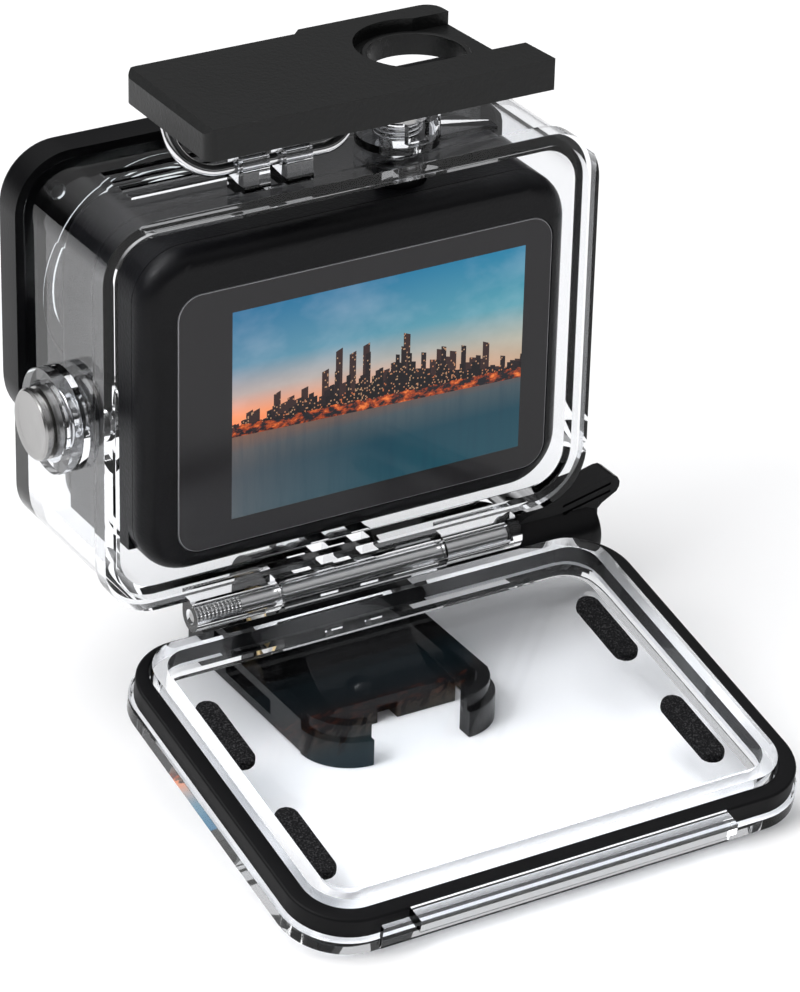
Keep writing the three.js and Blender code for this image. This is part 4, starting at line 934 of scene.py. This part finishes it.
STRIP_X = 30.3
spots = [(s * STRIP_X, RIM_B + share * (RIM_T - RIM_B)) for s in (-1, 1) for share in (0.29, 0.71)]
for i, (x, u) in enumerate(spots):
    pad = keep(foam_pad(x, u, i), f"foam_strip_{i + 1}", "door", [f"foam_pad_{i + 1}"],
               MAT["foam"])


# ------------------------------------------------------------------ latch

def bent(corners, bends):
    """Straight runs with round right-angle bends, as points."""
    pts = [Vector(corners[0])]
    for i in range(1, len(corners) - 1):
        c, r = Vector(corners[i]), bends[i]
        into = (c - Vector(corners[i - 1])).normalized()
        out = (Vector(corners[i + 1]) - c).normalized()
        start, end = c - into * r, c + out * r
        centre = start + out * r
        n = 14
        for k in range(n + 1):
            a = math.pi / 2 * k / n
            pts.append(centre - out * r * math.cos(a) + into * r * math.sin(a))
    pts.append(Vector(corners[-1]))
    return pts


BAIL_TURN = 3.4  # length of the wire's turned-in ends
BAIL_WIRE = 0.85  # radius
wire_points = bent([(BAIL_L + BAIL_TURN, TOP_Y, TOP_Z), (BAIL_L, TOP_Y, TOP_Z), (BAIL_L, BAIL_Y, BAIL_Z),
                    (BAIL_R, BAIL_Y, BAIL_Z), (BAIL_R, TOP_Y, TOP_Z), (BAIL_R - BAIL_TURN, TOP_Y, TOP_Z)],
                   [0, 1.5, 5.8, 5.8, 1.5, 0])
keep(tube(wire_points, BAIL_WIRE, 16), "bail_wire", "bail", ["latch_bail"], MAT["wire"])

L_L, L_R, L_BACK, L_FRONT = -26.8, 24.6, -7.4, 17.0
# the hole comes over the top plunger when the lever is down
HOLE_X, HOLE_Y, HOLE_R = SH_X, SH_Y - REACH * (1 - math.sin(LEAN)), 6.7
POCKET_R, POCKET_D = 8.6, 1.9  # sunk ring round the hole
STEP_Y = -0.9  # the pocket stops here, and the lever's back bar is wider


def lever():
    """Latch lever: flat cap, hollow below, with a round hole in a sunk pocket and two ears."""
    corner = 1.6
    q = math.pi / 2
    plan = (arc(L_L + corner, L_BACK + corner, corner, 2 * q, 3 * q, 6)
            + [(L_R + 0.8, L_BACK), (L_R + 0.2, STEP_Y), (L_R - 2.4, STEP_Y + 0.8)]
            + arc(L_R - 3.4 - 2.4, L_FRONT - 2.4, 2.4, 0, q, 6) + [(0, L_FRONT), (-1.2, L_FRONT - 1.2)]
            + arc(L_L + corner, L_FRONT - 1.2 - corner, corner, q, 2 * q, 6))
    body = prism(plan, "z", LEVER_B, LEVER_T)
    top = LEVER_T - 1.5
    hollow = box(L_L + 0.9, L_BACK + 1.3, LEVER_B - 1, HOLE_X - HOLE_R - 1.3, L_FRONT - 2.5, top)
    run = box(HOLE_X - HOLE_R - 2, L_BACK + 1.3, LEVER_B - 1, L_R - 1, HOLE_Y - HOLE_R - 0.3, top)
    y_end = min(HOLE_Y + POCKET_R - 1, L_FRONT - 3)
    pocket = carve(bar("z", POCKET_R, LEVER_T - POCKET_D, LEVER_T + 1, HOLE_X, HOLE_Y, 72),
                   [box(HOLE_X, STEP_Y, LEVER_T - POCKET_D, L_R + 3, y_end, LEVER_T + 1)],
                   [box(L_L - 1, L_BACK - 1, LEVER_B - 1, L_R + 3, STEP_Y, LEVER_T + 2)])
    ears = [box(x, TOP_Y - 1.9, TOP_Z - 1.5, x + 2.2, TOP_Y + 1.9, top + 0.5)
            for x in (BAIL_L + 1.9, BAIL_R - 4.1)]
    body = carve(body, [], [hollow, run, pocket])
    bevel = [(L_L - 1, LEVER_T - 0.5), (L_L - 1, LEVER_T + 1), (L_L + 0.9, LEVER_T + 1),
             (L_L + 0.9, LEVER_T + 0.001), (L_L, LEVER_T - 0.9)]
    rim = lathe([(HOLE_R - 0.5, LEVER_T - 3), (HOLE_R + 0.8, LEVER_T - 3), (HOLE_R + 0.8, LEVER_T - 1.6),
                 (HOLE_R + 0.55, LEVER_T - 1.4), (HOLE_R + 0.2, LEVER_T - 1.4),
                 (HOLE_R - 0.5, LEVER_T - 1.6)], "z", HOLE_X, HOLE_Y, 72)
    cuts = [bar("x", 1.05, BAIL_L - 1.4, BAIL_R + 1.4, TOP_Y, TOP_Z, 24),
            bar("z", HOLE_R, LEVER_B - 1, LEVER_T + 1, HOLE_X, HOLE_Y, 72),
            prism(bevel, "y", L_BACK - 1, L_FRONT + 1)]
    return soften(carve(body, [*ears, rim], cuts), 0.55, 4)


keep(lever(), "lever_plate", "lever", ["latch_lever"], MAT["lever"])


# ------------------------------------------------------------------ camera

CAM_CORNER = 7.5


def camera_body():
    """Body shell: rounded front edge, straight sides."""
    y0 = CAM_REAR + BEZEL_D + 0.1
    steps = [(0, y0), (0, CAM_FRONT - 2.0), (0.15, CAM_FRONT - 1.2), (0.6, CAM_FRONT - 0.5),
             (1.2, CAM_FRONT - 0.12), (2.0, CAM_FRONT)]
    outer = frame_loft(CAM_L, CAM_B, CAM_R, CAM_T, CAM_CORNER, steps, n=12)
    w = 1.6
    inner = prism(rounded(CAM_L + w, CAM_B + w, CAM_R - w, CAM_T - w, 5.9, 12), "y", y0 - 1, CAM_FRONT - w)
    door_low, door_high = span("battery_door")
    lens_hole = rounded(LENS_X - 9.5, LENS_Z - 9.5, LENS_X + 9.5, LENS_Z + 9.5, 2.5)
    cuts = [inner, prism(lens_hole, "y", CAM_FRONT - 3, CAM_FRONT + 1),
            bar("z", 4.2, CAM_T - 3, CAM_T + 1, SH_X, SH_Y, 48),
            box(CAM_L - 1, SD_Y - 2.2, SD_Z - 4.7, CAM_L + 3, SD_Y + 2.2, SD_Z + 4.7),
            box(CAM_L - 1, door_low.y - 0.1, door_low.z - 0.1, CAM_L + 3, door_high.y + 0.1,
                door_high.z + 0.1)]
    return soften(carve(outer, [], cuts), 0.15, 2, 42)


keep(camera_body(), "camera_case", "camera", ["camera_shell"], MAT["camera"])


def rear_frame():
    """Rear bezel with a soft rolled edge and a step down to the glass."""
    y1 = CAM_REAR + BEZEL_D
    steps = [(0, y1), (0, CAM_REAR + 2.6), (0.12, CAM_REAR + 1.9), (0.5, CAM_REAR + 1.15),
             (1.1, CAM_REAR + 0.55), (1.9, CAM_REAR + 0.15), (2.8, CAM_REAR)]
    outer = frame_loft(CAM_L, CAM_B, CAM_R, CAM_T, CAM_CORNER, steps, n=12)
    x0, z0, x1, z1 = glass_low.x - 0.1, glass_low.z - 0.1, glass_high.x + 0.1, glass_high.z + 0.1
    ledge = 1.7
    through = rounded(x0 + ledge, z0 + ledge, x1 - ledge, z1 - ledge, 2.6, 12)
    cuts = [prism(rounded(x0, z0, x1, z1, 3.7, 12), "y", CAM_REAR - 1, CAM_REAR + 0.9),
            prism(through, "y", CAM_REAR - 1, y1 + 1)]
    return soften(carve(outer, [], cuts), 0.1, 2, 42)


keep(rear_frame(), "rear_frame", "camera", ["rear_bezel"], MAT["camera"])
g_steps = [(0, glass_high.y), (0, glass_low.y + 0.25), (0.08, glass_low.y + 0.08), (0.25, glass_low.y)]
glass = frame_loft(glass_low.x, glass_low.z, glass_high.x, glass_high.z, 3.6, g_steps, n=12)
keep(smooth(glass), "touch_glass", "camera", ["touchscreen_glass"], MAT["screen"])


def carry(node, mat):
    """A CAD node that stays: edges rounded and given its material."""
    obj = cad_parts[node]
    obj.data.materials.clear()
    obj.data.materials.append(mat)
    mod = obj.modifiers.new("edge", "BEVEL")
    mod.width = 0.12 * MM
    mod.segments = 2
    mod.limit_method = "ANGLE"
    mod.angle_limit = math.radians(40)
    return obj


for node, mat in (("display_panel", "cover"), ("heat_spreader", "sheet"), ("main_board", "board"),
                  ("battery", "cell"), ("battery_door", "camera"), ("memory_card", "cell"),
                  ("speaker", "cell"), ("sensor_board", "board"), ("image_sensor", "cover"),
                  ("lens_barrel", "cover"), ("lens_front_element", "lens"), ("shutter_dome", "wire"),
                  ("mode_dome", "wire"), ("camera_shutter_button", "camera"),
                  ("camera_mode_button", "camera")):
    carry(node, MAT[mat])


def lens_square():
    """Square lens cover with a countersunk round eye."""
    low, high = cover_low, cover_high
    steps = [(0, low.y), (0, high.y - 0.9), (0.3, high.y - 0.3), (0.9, high.y)]
    cap = frame_loft(low.x, low.z, high.x, high.z, 4, steps, n=12)
    eye = lathe([(0, low.y + 1), (6.6, low.y + 1), (6.6, high.y - 0.5), (7.4, high.y + 0.3),
                 (0, high.y + 0.3)], "y", LENS_X, LENS_Z, 64)
    cuts = [eye, bar("y", 7.9, low.y - 1, high.y - 1, LENS_X, LENS_Z, 64)]
    return soften(carve(cap, [], cuts), 0.08, 2, 42)


keep(lens_square(), "lens_surround", "camera", ["lens_cover"], MAT["cover"])


# ------------------------------------------------------------------ stage, light, camera

FLOOR_HALF = 3000
corners = [(-1, -1), (1, -1), (1, 1), (-1, 1)]
floor = link("floor", [(a * FLOOR_HALF, b * FLOOR_HALF, 0) for a, b in corners], [(0, 1, 2, 3)])
white = Nodes("floor_white")
white.set(Base_Color=(0.93, 0.93, 0.935, 1), Roughness=0.75, Specular_IOR_Level=0.25)
floor.data.materials.append(white.mat)
floor.location.z = -0.00005

world = bpy.data.worlds.new("studio")
bpy.context.scene.world = world
world.use_nodes = True
sky = world.node_tree
coord = sky.nodes.new("ShaderNodeTexCoord")
parts = sky.nodes.new("ShaderNodeSeparateXYZ")
bands = sky.nodes.new("ShaderNodeValToRGB")
# dark round the horizon, rising to a wide soft ceiling
TONES = [(0.0, 0.03), (0.22, 0.05), (0.36, 0.35), (0.55, 0.9), (0.75, 1.0)]
while len(bands.color_ramp.elements) < len(TONES):
    bands.color_ramp.elements.new(0.5)
for element, (pos, tone) in zip(bands.color_ramp.elements, TONES):
    element.position = pos
    element.color = (tone, tone, tone * 1.01, 1)
sky.links.new(coord.outputs["Generated"], parts.inputs[0])
sky.links.new(parts.outputs[2], bands.inputs[0])
sky.links.new(bands.outputs[0], sky.nodes["Background"].inputs[0])
sky.nodes["Background"].inputs[1].default_value = 0.58


def area(name, at, target, size, power):
    data = bpy.data.lights.new(name, "AREA")
    data.shape = "SQUARE"
    data.size = size
    data.energy = power
    obj = bpy.data.objects.new(name, data)
    bpy.context.scene.collection.objects.link(obj)
    obj.location = at
    obj.rotation_euler = (Vector(target) - Vector(at)).to_track_quat("-Z", "Y").to_euler()
    return obj


def sun(name, toward, strength, angle):
    data = bpy.data.lights.new(name, "SUN")
    data.energy = strength
    data.angle = math.radians(angle)
    obj = bpy.data.objects.new(name, data)
    bpy.context.scene.collection.objects.link(obj)
    obj.rotation_euler = Vector(toward).to_track_quat("-Z", "Y").to_euler()
    return obj


sun("overhead", (0.30, -0.22, -1), 2.0, 55)
area("key", (-0.40, -0.05, 0.45), (0, 0, 0.05), 0.25, 1.2)

# the photograph's viewpoint: direction, roll, place and lens
AZ, EL, ROLL = math.radians(-31.08), math.radians(28.23), math.radians(1.45)
CAMERA_AT = (-0.27386, -0.46686, 0.32166)
LENS_MM, SENSOR_MM = 161.9, 36
aim = Vector((-math.sin(AZ) * math.cos(EL), math.cos(AZ) * math.cos(EL), -math.sin(EL)))
right = aim.cross(Vector((0, 0, 1))).normalized()
up = right.cross(aim)
cam_x = right * math.cos(ROLL) + up * math.sin(ROLL)
cam_y = -right * math.sin(ROLL) + up * math.cos(ROLL)
cam_data = bpy.data.cameras.new("view")
cam_data.lens = LENS_MM
cam_data.sensor_width = SENSOR_MM
cam_data.clip_start = 0.01
camera = bpy.data.objects.new("view", cam_data)
bpy.context.scene.collection.objects.link(camera)
turn = Matrix((cam_x, cam_y, -aim)).transposed().to_4x4()
camera.matrix_world = Matrix.Translation(CAMERA_AT) @ turn
bpy.context.scene.camera = camera
bpy.context.scene.view_settings.view_transform = "Standard"
